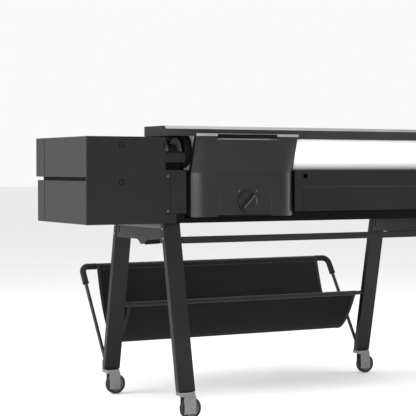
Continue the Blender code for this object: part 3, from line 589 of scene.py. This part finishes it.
def spindle():
    """Shaft, ribbed left hub, discs and the left flange of the roll holder."""
    axis = roll_axis(0)
    bm = bmesh.new()
    turned(bm, [(0.0, 0.3335), (0.0215, 0.3335), (0.0220, 0.336), (0.0220, 0.3755),
                (0.0200, 0.3755), (0.0200, 0.3785), (0.0245, 0.3785), (0.0245, 1.590),
                (0.0210, 1.592), (0.0210, 1.636), (0.0195, 1.6395), (0.0, 1.6395)],
           axis, "X", 48)
    piece("spindle_shaft", bm, "black", "roll", ["spindle"])
    bm = bmesh.new()
    turned(bm, [(0.0, 0.3010), (0.0240, 0.3005), (0.0270, 0.3020), (0.0325, 0.3040),
                (0.0338, 0.3060), (0.0338, 0.3240), (0.0320, 0.3255), (0.0, 0.3255)],
           axis, "X", 96, hub_ribs)
    piece("spindle_hub_left", bm, "grey", "roll")
    bm = bmesh.new()
    turned(bm, [(0.0, 0.3258), (0.0300, 0.3258), (0.0300, 0.3295), (0.0345, 0.3300),
                (0.0350, 0.3310), (0.0350, 0.3332), (0.0340, 0.3340), (0.0, 0.3340)],
           axis, "X", 64)
    turned(bm, [(0.0, 0.3750), (0.0440, 0.3750), (0.0450, 0.3758), (0.0450, 0.3782),
                (0.0440, 0.3790), (0.0, 0.3790)], axis, "X", 64)
    piece("spindle_discs", bm, "grey", "roll")
    bm = bmesh.new()
    turned(bm, [(0.0, 0.3850), (0.0290, 0.3850), (0.0310, 0.3895), (0.0470, 0.3905),
                (0.0560, 0.3860), (0.0605, 0.3852), (0.0625, 0.3875), (0.0625, 0.4120),
                (0.0610, 0.4140), (0.0300, 0.4150), (0.0262, 0.4222), (0.0, 0.4222)],
           axis, "X", 72)
    for spoke in range(6):
        turn = math.radians(60 * spoke + 15)
        middle = (ROLL_DEPTH + 0.039 * math.cos(turn), ROLL_HEIGHT + 0.039 * math.sin(turn))
        box(bm, (0.3860, 0.3925), (middle[0] - 0.010, middle[0] + 0.010),
            (middle[1] - 0.0022, middle[1] + 0.0022), 0.0006, ("X", 60 * spoke + 15))
    piece("spindle_flange_left", bm, "black", "roll")


def roll_cover():
    """The seal brush under the cover's back wall, and the left hinge barrel."""
    bm = bmesh.new()
    box(bm, (0.2965, 1.6450), (0.1610, 0.1668), (0.9535, 0.9640), 0.0008)
    turned(bm, [(0.0, 0.2965), (0.0045, 0.2965), (0.0045, 0.3350), (0.0, 0.3350)],
           place(0, 0.166, 0.9925), "X", 24)
    piece("cover_seal_and_hinges", bm, "black", "roll_cover")


# ---------------- trim bin


def bin_front(height):
    """The bin's front at one height, from its left edge to its right edge."""
    low, high = BIN_SPAN
    reach = BIN_CURVE * math.sin(math.radians(BIN_TURN))
    middle = BIN_FRONT + BIN_CURVE
    plan = arc((low + reach, middle), BIN_CURVE, 270 - BIN_TURN, 270, 10)
    plan += arc((high - reach, middle), BIN_CURVE, 270, 270 + BIN_TURN, 10)
    return [place(x, depth, height) for x, depth in plan]


def trim_bin():
    """Seam, emboss, notch and lock marks on the bin's front."""
    bm = bmesh.new()
    swept(bm, bin_front(0.8352), oblong(0.0004, -0.0005, 0.0005))
    emboss = [(0.500, 0.752), (0.500, 0.712)]
    emboss += arc((0.514, 0.712), 0.014, 180, 270, 6)
    emboss += arc((0.693, 0.712), 0.014, 270, 360, 6) + [(0.707, 0.752)]
    swept(bm, [place(x, BIN_FRONT, height) for x, height in emboss], circle(0.0006, 8))
    piece("bin_seams", bm, "bin", "trim_bin")

    bm = bmesh.new()
    box(bm, (0.490, 0.707), (BIN_FRONT - 0.0004, BIN_FRONT + 0.001), (0.6822, 0.6890), 0.0003)
    rings = turned(bm, [(0.0372, -0.0004), (0.0388, -0.0004), (0.0388, 0.001), (0.0372, 0.001)],
                   place(KNOB[0], BIN_FRONT, KNOB[1]), "Y", 64)
    bore(bm, rings)
    piece("bin_shadow_lines", bm, "painted_shadow", "trim_bin")

    bm = bmesh.new()
    for side in (-0.035, 0.035):
        turned(bm, [(0.0, -0.0004), (0.0014, -0.0004), (0.0016, 0.0005), (0.0, 0.0005)],
               place(KNOB[0] + side, BIN_FRONT, KNOB[1] + 0.036), "Y", 16)
    piece("bin_lock_dots", bm, "light_grey", "trim_bin")


def bin_mouth():
    """The silver edge, painted shadow in the grip recess and the side cheeks of the bin's mouth.
    """
    bm = bmesh.new()
    for span in ((0.3936, 0.4760), (0.7170, 0.8044)):
        box(bm, span, (-0.0345, -0.0295), (0.9630, 0.9720), 0.0012)
    box(bm, (0.4755, 0.7175), (-0.0340, -0.0295), (0.9706, 0.9719), 0.0004)
    piece("bin_silver_edge", bm, "silver", "trim_bin", ["bin_lip"])
    bm = bmesh.new()
    # Near-black block in the grip recess: painted shadow.
    box(bm, (0.4762, 0.7168), (-0.0332, -0.0270), (0.9560, 0.9706), 0.0008)
    piece("bin_grip_recess_shadow", bm, "painted_shadow", "trim_bin")

    bm = bmesh.new()
    for x in (0.3950, 0.8032):
        profile = [(0.0100, 0.8372), (0.0280, 0.8372), (-0.0130, 0.9620), (-0.0290, 0.9620)]
        slab(bm, (x - 0.0008, x + 0.0008), profile)
    piece("bin_mouth_cheeks", bm, "black", "trim_bin")


def knob_marks():
    """A raised pointer line along the grip bar of the lock knob."""
    bm = bmesh.new()
    box(bm, (KNOB[0] - 0.030, KNOB[0] + 0.030), (BIN_FRONT - 0.0154, BIN_FRONT - 0.0148),
        (KNOB[1] - 0.0008, KNOB[1] + 0.0008), 0.0002, ("Y", -45))
    piece("knob_pointer", bm, "grey", "bin_knob")


# ---------------- panels and seams


def panel_lines():
    """Seams between the folded panels of the roll side, and small holes in them."""
    bm = bmesh.new()
    for low in (0.3100, 1.6322):
        box(bm, (low, low + 0.0007), (0.0016, 0.0022), (0.712, 0.836))
    box(bm, (0.3100, 0.3715), (0.0016, 0.0022), (0.712, 0.7127))
    box(bm, (0.8432, 0.8440), (-0.0027, -0.0021), (0.6985, 0.784))
    for x, height, size in ((0.884, 0.6845, 0.0035), (0.972, 0.6814, 0.0025)):
        turned(bm, [(0.0, 0.0120), (size, 0.0120), (size, 0.0130), (0.0, 0.0130)],
               place(x, 0, height), "Y", 20)
    for low in (0.2830, 1.6545):
        box(bm, (low, low + 0.0045), (-0.0002, 0.0005), (0.9190, 0.9400), 0.0002)
    piece("panel_shadow_lines", bm, "painted_shadow", "frame")


def panel_fittings():
    """Folded flanges beside the roll bay, and the latches."""
    bm = bmesh.new()
    for low in (0.2912, 1.6449):
        box(bm, (low, low + 0.0049), (0.0010, 0.0030), (0.697, 0.845), 0.0003)
    for height in (0.9315, 0.8057):
        for x in (0.1205, WIDTH - 0.0865):
            box(bm, (x, x + 0.0130), (0.0012, 0.0100), (height - 0.0070, height + 0.0070), 0.0010)
    piece("flanges_and_latches", bm, "panel", "frame")


def bay_linings():
    """Blanks and a ribbed wall behind the roll, and painted shadow in the cradle slots."""
    bm = bmesh.new()
    for span in ((0.2970, 0.4230), (1.5460, 1.6440)):
        box(bm, span, (0.1690, 0.1705), (0.8880, 0.9525))
    piece("roll_bay_blanks", bm, "black", "frame")
    bm = bmesh.new()
    box(bm, (0.2972, 1.6438), (0.1792, 0.1806), (0.6955, 0.8780), 0.0004)
    for number in range(9):
        x = 0.330 + 0.1595 * number
        box(bm, (x, x + 0.0040), (0.1805, 0.1840), (0.6960, 0.8760), 0.0008)
    piece("inner_wall", bm, "black", "frame")

    bm = bmesh.new()
    # Dark plates lining the cradle slots: painted shadow.
    for span in ((0.2966, 0.3716), (1.5814, 1.6444)):
        box(bm, span, (0.0500, 0.0546), (0.8458, 0.8722))
        box(bm, span, (0.0040, 0.0546), (0.8456, 0.8461))
        box(bm, span, (0.0120, 0.0546), (0.8719, 0.8724))
    piece("cradle_slot_shadows", bm, "painted_shadow", "frame")


def housing_seam_shadows():
    """Painted shadow lines at the seams in the sides of the housings, and painted shadow between
    the covers.
    """
    bm = bmesh.new()
    # Dark strips at the side seams and in the groove between the covers: painted shadow.
    for low, high in ((0.663, 0.8095), (0.8228, 0.9585)):
        box(bm, (-0.0003, 0.0006), (0.3756, 0.3782), (low + 0.001, high - 0.001))
        box(bm, (1.8014, 1.8023), (0.3756, 0.3782), (low + 0.001, high - 0.001))
    for span in ((0.0085, 0.0096), (1.7924, 1.7935)):
        box(bm, span, (0.0128, 0.4080), (0.8108, 0.8216))
    piece("housing_seam_shadows", bm, "painted_shadow", "frame")


def beam_edge():
    """A painted highlight along the folded top edge of the lower beam."""
    bm = bmesh.new()
    box(bm, (0.8440, 1.5795), (-0.0003, 0.0010), (0.7838, 0.7845))
    piece("beam_highlight_edge", bm, "grey", "frame")


def machine_screws():
    """Small screws of the roll side's panels, and bolts of the stand's brackets."""
    near = [(x, 0.0020, height, "Y", -1) for x in (0.3005, 1.6400) for height in (0.825, 0.705)]
    near += [(x, -0.0001, height, "Y", -1)
             for x, height in ((0.858, 0.806), (1.139, 0.805), (1.420, 0.805))]
    screws("roll_side_screws", "frame", near, "grey")
    stand = []
    for x, outward in ((0.2970, -1), (1.5050, 1)):
        for height in (0.612, 0.645):
            shift = LEG_LEAN * (LEG_TOP_HEIGHT - height)
            stand += [(x, top + lean * shift, height, "X", outward) for top, lean in LEG_TOPS]
    screws("stand_bolts", "frame", stand, head=0.0055)


# ---------------- stand


def stand_details():
    """Flanges in a painted highlight, gussets and painted shadow strips of the stand brackets, and
    the legs' foot plugs.
    """
    bm = bmesh.new()
    for x in (0.2984, 1.5036):
        box(bm, (x - 0.0008, x + 0.0008), (0.052, 0.408), (0.6440, 0.6622), 0.0004)
    # Flange strips in a lighter copy of the bracket's coat: painted highlight.
    piece("bracket_flanges", bm, "flange_highlight", "frame")
    bm = bmesh.new()
    for x in (0.2986, 1.5034):
        slab(bm, (x - 0.0008, x + 0.0008),
             [(0.160, 0.5955), (0.232, 0.5955), (0.252, 0.6140), (0.160, 0.6140)])
    piece("bracket_gussets", bm, "bracket", "frame")
    bm = bmesh.new()
    for x in (0.2986, 1.5034):
        box(bm, (x - 0.0006, x + 0.0006), (0.060, 0.178), (0.5870, 0.6020), 0.0004, ("X", -4.5))
    # Dark strips low on the brackets: painted shadow in the recess at their lower edge.
    piece("bracket_shadow_strips", bm, "painted_shadow", "frame")
    bm = bmesh.new()
    for low, high in ((0.2970, 0.3600), (1.4420, 1.5050)):
        for top, lean in LEG_TOPS:
            middle = top + lean * FOOT_SHIFT
            box(bm, (low + 0.0005, high - 0.0005), (middle - 0.0110, middle + 0.0110),
                (0.0946, 0.1010), 0.0012)
    piece("leg_foot_plugs", bm, "black", "frame")


def both_ways(profile):
    """A profile and its mirror image, for a shape that is the same on both sides."""
    return profile + [(radius, -along) for radius, along in reversed(profile)]


def tread(number, angle):
    """Fine moulding marks round a caster's tyre."""
    return 1.0 if number not in (3, 4) else 1.0 - 0.004 * (math.cos(40 * angle) > 0.8)


def caster(side, row):
    """Tyre, hub and axle nuts of one caster, on the wheel and fork of the model."""
    low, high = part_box("caster_wheel_%s_%s" % (side, row))
    centre = (low + high) / 2
    half = WHEEL_WIDTH / 2
    body = "wheel_%s_%s" % (side, row)
    bm = bmesh.new()
    tyre = both_ways([(0.0262, -half + 0.0012), (0.0330, -half), (0.0352, -half + 0.0006),
                      (WHEEL_RADIUS, -half + 0.0040)])
    rings = turned(bm, tyre, centre, "Y", 80, tread)
    bore(bm, rings)
    piece("tyre_%s_%s" % (side, row), bm, "rubber", body,
          ["caster_wheel_%s_%s" % (side, row)])
    bm = bmesh.new()
    hub = both_ways([(0.0045, -half + 0.0008), (0.0105, -half + 0.0004), (0.0115, -half + 0.0040),
                     (0.0215, -half + 0.0050), (0.0232, -half + 0.0012), (0.0262, -half + 0.0010)])
    rings = turned(bm, hub, centre, "Y", 60)
    bore(bm, rings)
    for spoke in range(6):
        turn = 60 * spoke
        middle = centre + Vector((0.0165 * math.cos(math.radians(turn)), 0,
                                  0.0165 * math.sin(math.radians(turn))))
        for face in (-1, 1):
            spot = Matrix.Translation(middle + Vector((0, face * (half - 0.0040), 0)))
            matrix = spot @ Matrix.Rotation(math.radians(-turn), 4, "Y")
            bmesh.ops.create_cube(bm, size=1.0,
                                  matrix=matrix @ Matrix.Diagonal((0.0110, 0.0030, 0.0018, 1)))
    piece("wheel_hub_%s_%s" % (side, row), bm, "grey", body)
    bm = bmesh.new()
    outer = half + 0.0046
    for face in (-1, 1):
        profile = [(0.0, face * (outer + 0.0024)), (0.0045, face * (outer + 0.0024)),
                   (0.0058, face * (outer + 0.0012)), (0.0058, face * (outer - 0.0004)),
                   (0.0, face * (outer - 0.0004))]
        turned(bm, profile, centre, "Y", 6)
    piece("axle_nuts_%s_%s" % (side, row), bm, "steel", "caster_%s_%s" % (side, row))


# ---------------- basket


def rod_point(distance):
    """A point this far down a rod from the top bar, as depth and height."""
    top = Vector((BAR_DEPTH, BAR_HEIGHT))
    down = (Vector(ROD_FOOT) - top).normalized()
    return top + down * distance


def basket_frame():
    """Top bar, plastic elbows with collars, steel rods and their foot clamps."""
    length = (Vector(ROD_FOOT) - Vector((BAR_DEPTH, BAR_HEIGHT))).length
    bm = bmesh.new()
    swept(bm, [place(x, BAR_DEPTH, BAR_HEIGHT) for x in (0.356, WIDTH / 2, WIDTH - 0.356)],
          circle(BAR_RADIUS, 20))
    for x in (ROD_ACROSS, WIDTH - ROD_ACROSS):
        low, high = rod_point(0.066), rod_point(length)
        swept(bm, [place(x, *low), place(x, *high)], circle(ROD_RADIUS, 16))
    piece("basket_bar_and_rods", bm, "rod", "frame", ["basket_frame"])

    bm = bmesh.new()
    bend = 0.026
    for x, inward in ((ROD_ACROSS, 1), (WIDTH - ROD_ACROSS, -1)):
        route = [place(x + inward * 0.060, BAR_DEPTH, BAR_HEIGHT)]
        for step in range(9):
            angle = math.radians(90 * step / 8)
            depth, height = rod_point(bend * (1 - math.cos(angle)))
            route.append(place(x + inward * bend * (1 - math.sin(angle)), depth, height))
        route.append(place(x, *rod_point(0.074)))
        swept(bm, route, circle(0.0122, 20))
        swept(bm, [place(x + inward * 0.0565, BAR_DEPTH, BAR_HEIGHT),
                   place(x + inward * 0.0605, BAR_DEPTH, BAR_HEIGHT)], circle(0.0128, 20))
        swept(bm, [place(x, *rod_point(0.0705)), place(x, *rod_point(0.0750))],
              circle(0.0128, 20))
        box(bm, (x - 0.014, x + 0.014), (0.5495, 0.576), (0.098, 0.126), 0.003)
    piece("basket_elbows", bm, "black", "frame")


def fabric_profile():
    """The sling between the bars, as (depth, height) points, top bar first."""
    top = (BAR_DEPTH, BAR_HEIGHT)
    back = (BACK_BAR_DEPTH, BACK_BAR_HEIGHT)
    start = Vector(arc(top, BAR_RADIUS + 0.0012, 154, 155, 1)[0])
    valley = start + Vector((-math.sin(FABRIC_HANG), -math.cos(FABRIC_HANG))) * FABRIC_DROP
    end = Vector(arc(back, BACK_BAR_RADIUS + 0.0012, 32.7, 33, 1)[0])
    before = (start - valley).normalized()
    after = (end - valley).normalized()
    reach = 0.085
    first, last = valley + before * reach, valley + after * reach
    points = [start.lerp(first, step / 18) for step in range(18)]
    for step in range(13):
        share = step / 12
        points.append(first.lerp(valley, share).lerp(valley.lerp(last, share), share))
    points += [last.lerp(end, step / 8) for step in range(1, 9)]
    return points


def fabric_grid(profile, columns):
    """The flat sheet laid along the profile, with its own width and length as UV."""
    low, high = FABRIC_SPAN
    bm = bmesh.new()
    layer = bm.loops.layers.uv.new("flat")
    travelled = [0.0]
    for first, second in zip(profile, profile[1:]):
        travelled.append(travelled[-1] + (second - first).length)
    rows = []
    for depth, height in profile:
        rows.append([bm.verts.new(place(low + (high - low) * column / columns, depth, height))
                     for column in range(columns + 1)])
    for number in range(len(rows) - 1):
        for column in range(columns):
            corners = ((number, column), (number, column + 1), (number + 1, column + 1),
                       (number + 1, column))
            face = bm.faces.new([rows[row][step] for row, step in corners])
            for loop, (row, step) in zip(face.loops, corners):
                loop[layer].uv = ((high - low) * step / columns, travelled[row])
    return bm, travelled[-1]


def hang(sheet, rows, columns):
    """Lets the sheet fall into its own folds between the two bars."""
    group = sheet.vertex_groups.new(name="bars")
    width = columns + 1
    held = list(range(width)) + list(range(width * (rows - 1), width * rows))
    group.add(held, 1.0, "REPLACE")
    cloth = sheet.modifiers.new("cloth", "CLOTH")
    for key, value in CLOTH.items():
        setattr(cloth.settings, key, value)
    cloth.settings.vertex_group_mass = "bars"
    scene = bpy.context.scene
    for step in range(1, 41):
        scene.frame_set(step)
    graph = bpy.context.evaluated_depsgraph_get()
    fallen = bpy.data.meshes.new_from_object(sheet.evaluated_get(graph))
    sheet.modifiers.clear()
    sheet.vertex_groups.clear()
    sheet.data = fallen
    scene.frame_set(1)


def basket_fabric():
    """The woven sling with sleeves round both bars, side hems and one row of stitches."""
    profile = fabric_profile()
    columns = 64
    bm, length = fabric_grid(profile, columns)
    sheet = to_object("basket_sheet", bm, MATERIALS["fabric"], 80)
    hang(sheet, len(profile), columns)
    width = columns + 1
    points = [vertex.co.copy() for vertex in sheet.data.vertices]
    hems = [sleeve("basket_sleeve_top", BAR_DEPTH, BAR_HEIGHT, BAR_RADIUS),
            sleeve("basket_sleeve_back", BACK_BAR_DEPTH, BACK_BAR_HEIGHT, BACK_BAR_RADIUS)]
    for name, column in (("left", 0), ("right", columns)):
        edge = points[column::width]
        bm = bmesh.new()
        swept(bm, edge, oblong(0.0060, -0.0012, 0.0012))
        hems.append(soft_hem("basket_hem_" + name, bm))
    hems.append(stitches(points[width:2 * width]))
    subdivide = sheet.modifiers.new("smooth", "SUBSURF")
    subdivide.levels = 1
    subdivide.render_levels = 1
    thicken = sheet.modifiers.new("thickness", "SOLIDIFY")
    thicken.thickness = FABRIC_THICKNESS
    thicken.offset = 0.0
    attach(sheet, "frame")
    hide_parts("basket_fabric")


def soft_hem(name, bm):
    """A hem or sleeve with its own weave coordinates."""
    obj = to_object(name, bm, MATERIALS["hem"], 60)
    layer = obj.data.uv_layers.new(name="flat")
    for loop in obj.data.loops:
        spot = obj.data.vertices[loop.vertex_index].co
        layer.data[loop.index].uv = (spot.x, spot.y + spot.z)
    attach(obj, "frame")
    return obj


def sleeve(name, depth, height, radius):
    """The turned-over edge of the sling round a bar, slightly slack between the ends."""
    low, high = FABRIC_SPAN
    bm = bmesh.new()
    steps = 90
    sides = 20
    rings = []
    for step in range(steps + 1):
        x = low + (high - low) * step / steps
        slack = 0.0004 * math.sin(x * 61) + 0.0003 * math.sin(x * 137 + 1)
        ring = []
        for number in range(sides):
            angle = 2 * math.pi * number / sides
            reach = radius + 0.0014 + slack * (1 - math.sin(angle)) / 2
            ring.append(bm.verts.new(place(x, depth + reach * math.cos(angle),
                                           height + reach * math.sin(angle))))
        rings.append(ring)
    skin(bm, rings)
    return soft_hem(name, bm)


def stitches(line):
    """Short thread stitches along a row of points on the sheet."""
    bm = bmesh.new()
    for first, second in zip(line, line[1:]):
        for start, end in ((0.06, 0.30), (0.38, 0.62), (0.70, 0.94)):
            swept(bm, [first.lerp(second, start), first.lerp(second, end)], circle(0.0009, 6))
    obj = to_object("basket_stitches", bm, MATERIALS["thread"], 60)
    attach(obj, "frame")
    return obj


# ---------------- output side


def touch_panel():
    """Rounded panel with a glass front, a home dot and its hinge."""
    x, depth, height = spans("touch_panel")
    bm = bmesh.new()
    box(bm, x, (depth[0], depth[1] - 0.0014), height, 0.0035)
    turned(bm, [(0.0, x[0] + 0.02), (0.0040, x[0] + 0.02), (0.0040, x[1] - 0.02),
                (0.0, x[1] - 0.02)], place(0, depth[0] + 0.0045, height[1] - 0.0045), "X", 20)
    piece("touch_panel_back", bm, "black", "touch_panel", ["touch_panel"])
    bm = bmesh.new()
    box(bm, (x[0] + 0.0035, x[1] - 0.0035), (depth[1] - 0.0016, depth[1]),
        (height[0] + 0.0035, height[1] - 0.0035), 0.0006)
    piece("touch_panel_glass", bm, "screen", "touch_panel")
    bm = bmesh.new()
    turned(bm, [(0.0, depth[1] - 0.0004), (0.0030, depth[1] - 0.0004),
                (0.0030, depth[1] + 0.0002), (0.0, depth[1] + 0.0002)],
           place((x[0] + x[1]) / 2, 0, height[0] + 0.010), "Y", 24)
    piece("touch_panel_home", bm, "grey", "touch_panel")


def window_frame():
    """Black borders on the window: at its hinge, at its free edge and at both ends."""
    outline = [(0.1800, 0.9574), (0.3300, 0.9533)]
    outline += arc((0.4059, 0.9124), 0.0303, 82.2, 28.6, 8) + [(0.4550, 0.8858)]
    bm = bmesh.new()
    for low, high in ((0.2945, 0.3145), (1.6270, 1.6470)):
        middle = (low + high) / 2
        route = [place(middle, depth, height) for depth, height in outline]
        swept(bm, route, oblong(0.0100, -0.0002, 0.0009))
    box(bm, (0.2945, 1.6470), (0.1790, 0.1960), (0.9560, 0.9584), 0.0006)
    swept(bm, [place(0.2945, 0.4535, 0.8895), place(1.6470, 0.4535, 0.8895)],
          [(-0.0030, -0.0060), (0.0022, -0.0060), (0.0022, 0.0060), (-0.0030, 0.0060)])
    box(bm, (0.870, 1.070), (0.4500, 0.4640), (0.8850, 0.8885), 0.0012)
    piece("window_frame", bm, "black", "window")


def output_details():
    """Painted shadow in the seams of the fascia, in the vents in the right side and in the suction
    holes in the platen.
    """
    bm = bmesh.new()
    # Dark strips in the fascia seams: painted shadow.
    box(bm, (0.302, 1.640), (0.4432, 0.4445), (0.8120, 0.8155), 0.0005)
    box(bm, (0.302, 1.640), (0.4432, 0.4445), (0.6760, 0.6775), 0.0005)
    piece("fascia_lines", bm, "painted_shadow", "frame")
    window_frame()

    bm = bmesh.new()
    # Dark slots in the right side: painted shadow in the vents.
    for number in range(12):
        low = 0.052 + 0.0115 * number
        box(bm, (1.8012, 1.8024), (low, low + 0.0050), (0.700, 0.772), 0.0004)
    piece("side_vent_slots", bm, "painted_shadow", "frame")

    bm = bmesh.new()
    # Dark discs on the platen: painted shadow in the suction holes.
    count = 52
    for number in range(count):
        x = 0.320 + 1.300 * number / (count - 1)
        for depth in (0.316, 0.345, 0.371):
            turned(bm, [(0.0, 0.8338), (0.0016, 0.8338), (0.0016, 0.8342), (0.0, 0.8342)],
                   place(x, depth, 0), "Z", 10)
    piece("platen_holes", bm, "painted_shadow", "frame")


def carriage_details():
    """A lid, a handle lip and a row of ribs on the carriage."""
    (left, right), _, (_, top) = spans("carriage")
    bm = bmesh.new()
    box(bm, (left + 0.008, right - 0.008), (0.312, 0.386), (top - 0.0005, top + 0.0030), 0.0012)
    box(bm, (left + 0.045, right - 0.045), (0.384, 0.3950), (top - 0.014, top - 0.004), 0.0015)
    for number in range(7):
        x = left + 0.020 + 0.0165 * number
        box(bm, (x, x + 0.0020), (0.3932, 0.3950), (0.850, top - 0.024), 0.0004)
    piece("carriage_lid", bm, "grey", "carriage")


CARTRIDGE_TONES = ((0.010, 0.010, 0.011), (0.02, 0.25, 0.45), (0.40, 0.03, 0.16),
                   (0.62, 0.48, 0.03))


def cartridges():
    """A coloured tab and a ribbed grip on the face of each ink cartridge."""
    for number, colour in enumerate(CARTRIDGE_TONES, 1):
        (left, right), (_, face), (bottom, top) = spans("ink_cartridge_%d" % number)
        body = "cartridge_%d" % number
        bm = bmesh.new()
        box(bm, (left + 0.004, right - 0.004), (face - 0.0008, face + 0.0012),
            (top - 0.030, top - 0.008), 0.0008)
        tab = to_object("cartridge_tab_%d" % number, bm,
                        grained("ink_tone_%d" % number, colour, 0.4, 0.0006, 0.00004))
        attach(tab, body)
        bm = bmesh.new()
        for rib in range(5):
            height = bottom + 0.020 + 0.008 * rib
            box(bm, (left + 0.005, right - 0.005), (face - 0.0005, face + 0.0012),
                (height, height + 0.0025), 0.0006)
        piece("cartridge_grip_%d" % number, bm, "black", body)


# ---------------- stage


def area_light(name, spot, target, size, power):
    """A soft rectangular light aimed at a target."""
    light = bpy.data.lights.new(name, "AREA")
    light.shape = "RECTANGLE"
    light.size, light.size_y = size
    light.energy = power
    obj = bpy.data.objects.new(name, light)
    obj.location = spot
    obj.rotation_euler = (Vector(target) - Vector(spot)).to_track_quat("-Z", "Y").to_euler()
    bpy.context.scene.collection.objects.link(obj)


def studio():
    """Pale floor, white surroundings and soft panels left, right, above and in front."""
    bm = bmesh.new()
    bmesh.ops.create_circle(bm, cap_ends=True, radius=60.0, segments=64)
    material = grained("pale_floor", (0.84, 0.84, 0.84), 0.8, 0.004, 0.0001, variation=0.01,
                       specular=0.1)
    floor = to_object("floor", bm, material)
    floor.location.z = -0.0005
    world = bpy.data.worlds.new("surroundings")
    world.use_nodes = True
    world.node_tree.nodes["Background"].inputs["Color"].default_value = (1.0, 1.0, 1.0, 1.0)
    world.node_tree.nodes["Background"].inputs["Strength"].default_value = 0.95
    bpy.context.scene.world = world
    area_light("left_panel", (-3.6, 0.3, 1.5), (-0.6, 0.0, 0.8), (2.4, 2.2), 150)
    area_light("right_panel", (4.2, -1.0, 1.1), (0.2, -0.3, 0.8), (2.0, 2.0), 105)
    area_light("top_panel", (0.0, -0.8, 3.4), (0.0, 0.0, 0.8), (3.0, 2.0), 60)
    area_light("front_panel", (-2.2, -4.6, 0.85), (0.2, -0.3, 0.88), (2.6, 0.7), 210)
    bpy.context.scene.view_settings.view_transform = "Standard"


def camera():
    """The photo's point of view, to the left of the roll side."""
    lens = bpy.data.cameras.new("camera")
    lens.lens = CAMERA_LENS
    lens.clip_end = 200
    obj = bpy.data.objects.new("camera", lens)
    obj.location = CAMERA_PLACE
    obj.rotation_euler = (math.radians(90 - CAMERA_PITCH), 0, math.radians(CAMERA_AZIMUTH))
    bpy.context.scene.collection.objects.link(obj)
    bpy.context.scene.camera = obj


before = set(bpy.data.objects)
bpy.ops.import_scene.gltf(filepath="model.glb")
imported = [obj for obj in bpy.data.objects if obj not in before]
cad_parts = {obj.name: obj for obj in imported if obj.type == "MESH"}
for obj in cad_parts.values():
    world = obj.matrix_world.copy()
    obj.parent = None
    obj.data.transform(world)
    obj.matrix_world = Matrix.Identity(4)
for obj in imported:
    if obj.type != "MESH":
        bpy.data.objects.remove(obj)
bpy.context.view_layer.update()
MATERIALS = make_materials()

finish_cad_nodes()
paper_roll()
spindle()
roll_cover()
trim_bin()
bin_mouth()
knob_marks()
panel_lines()
panel_fittings()
bay_linings()
housing_seam_shadows()
beam_edge()
machine_screws()
stand_details()
for side in ("left", "right"):
    for row in ("near", "far"):
        caster(side, row)
basket_frame()
basket_fabric()
touch_panel()
output_details()
carriage_details()
cartridges()
studio()
camera()
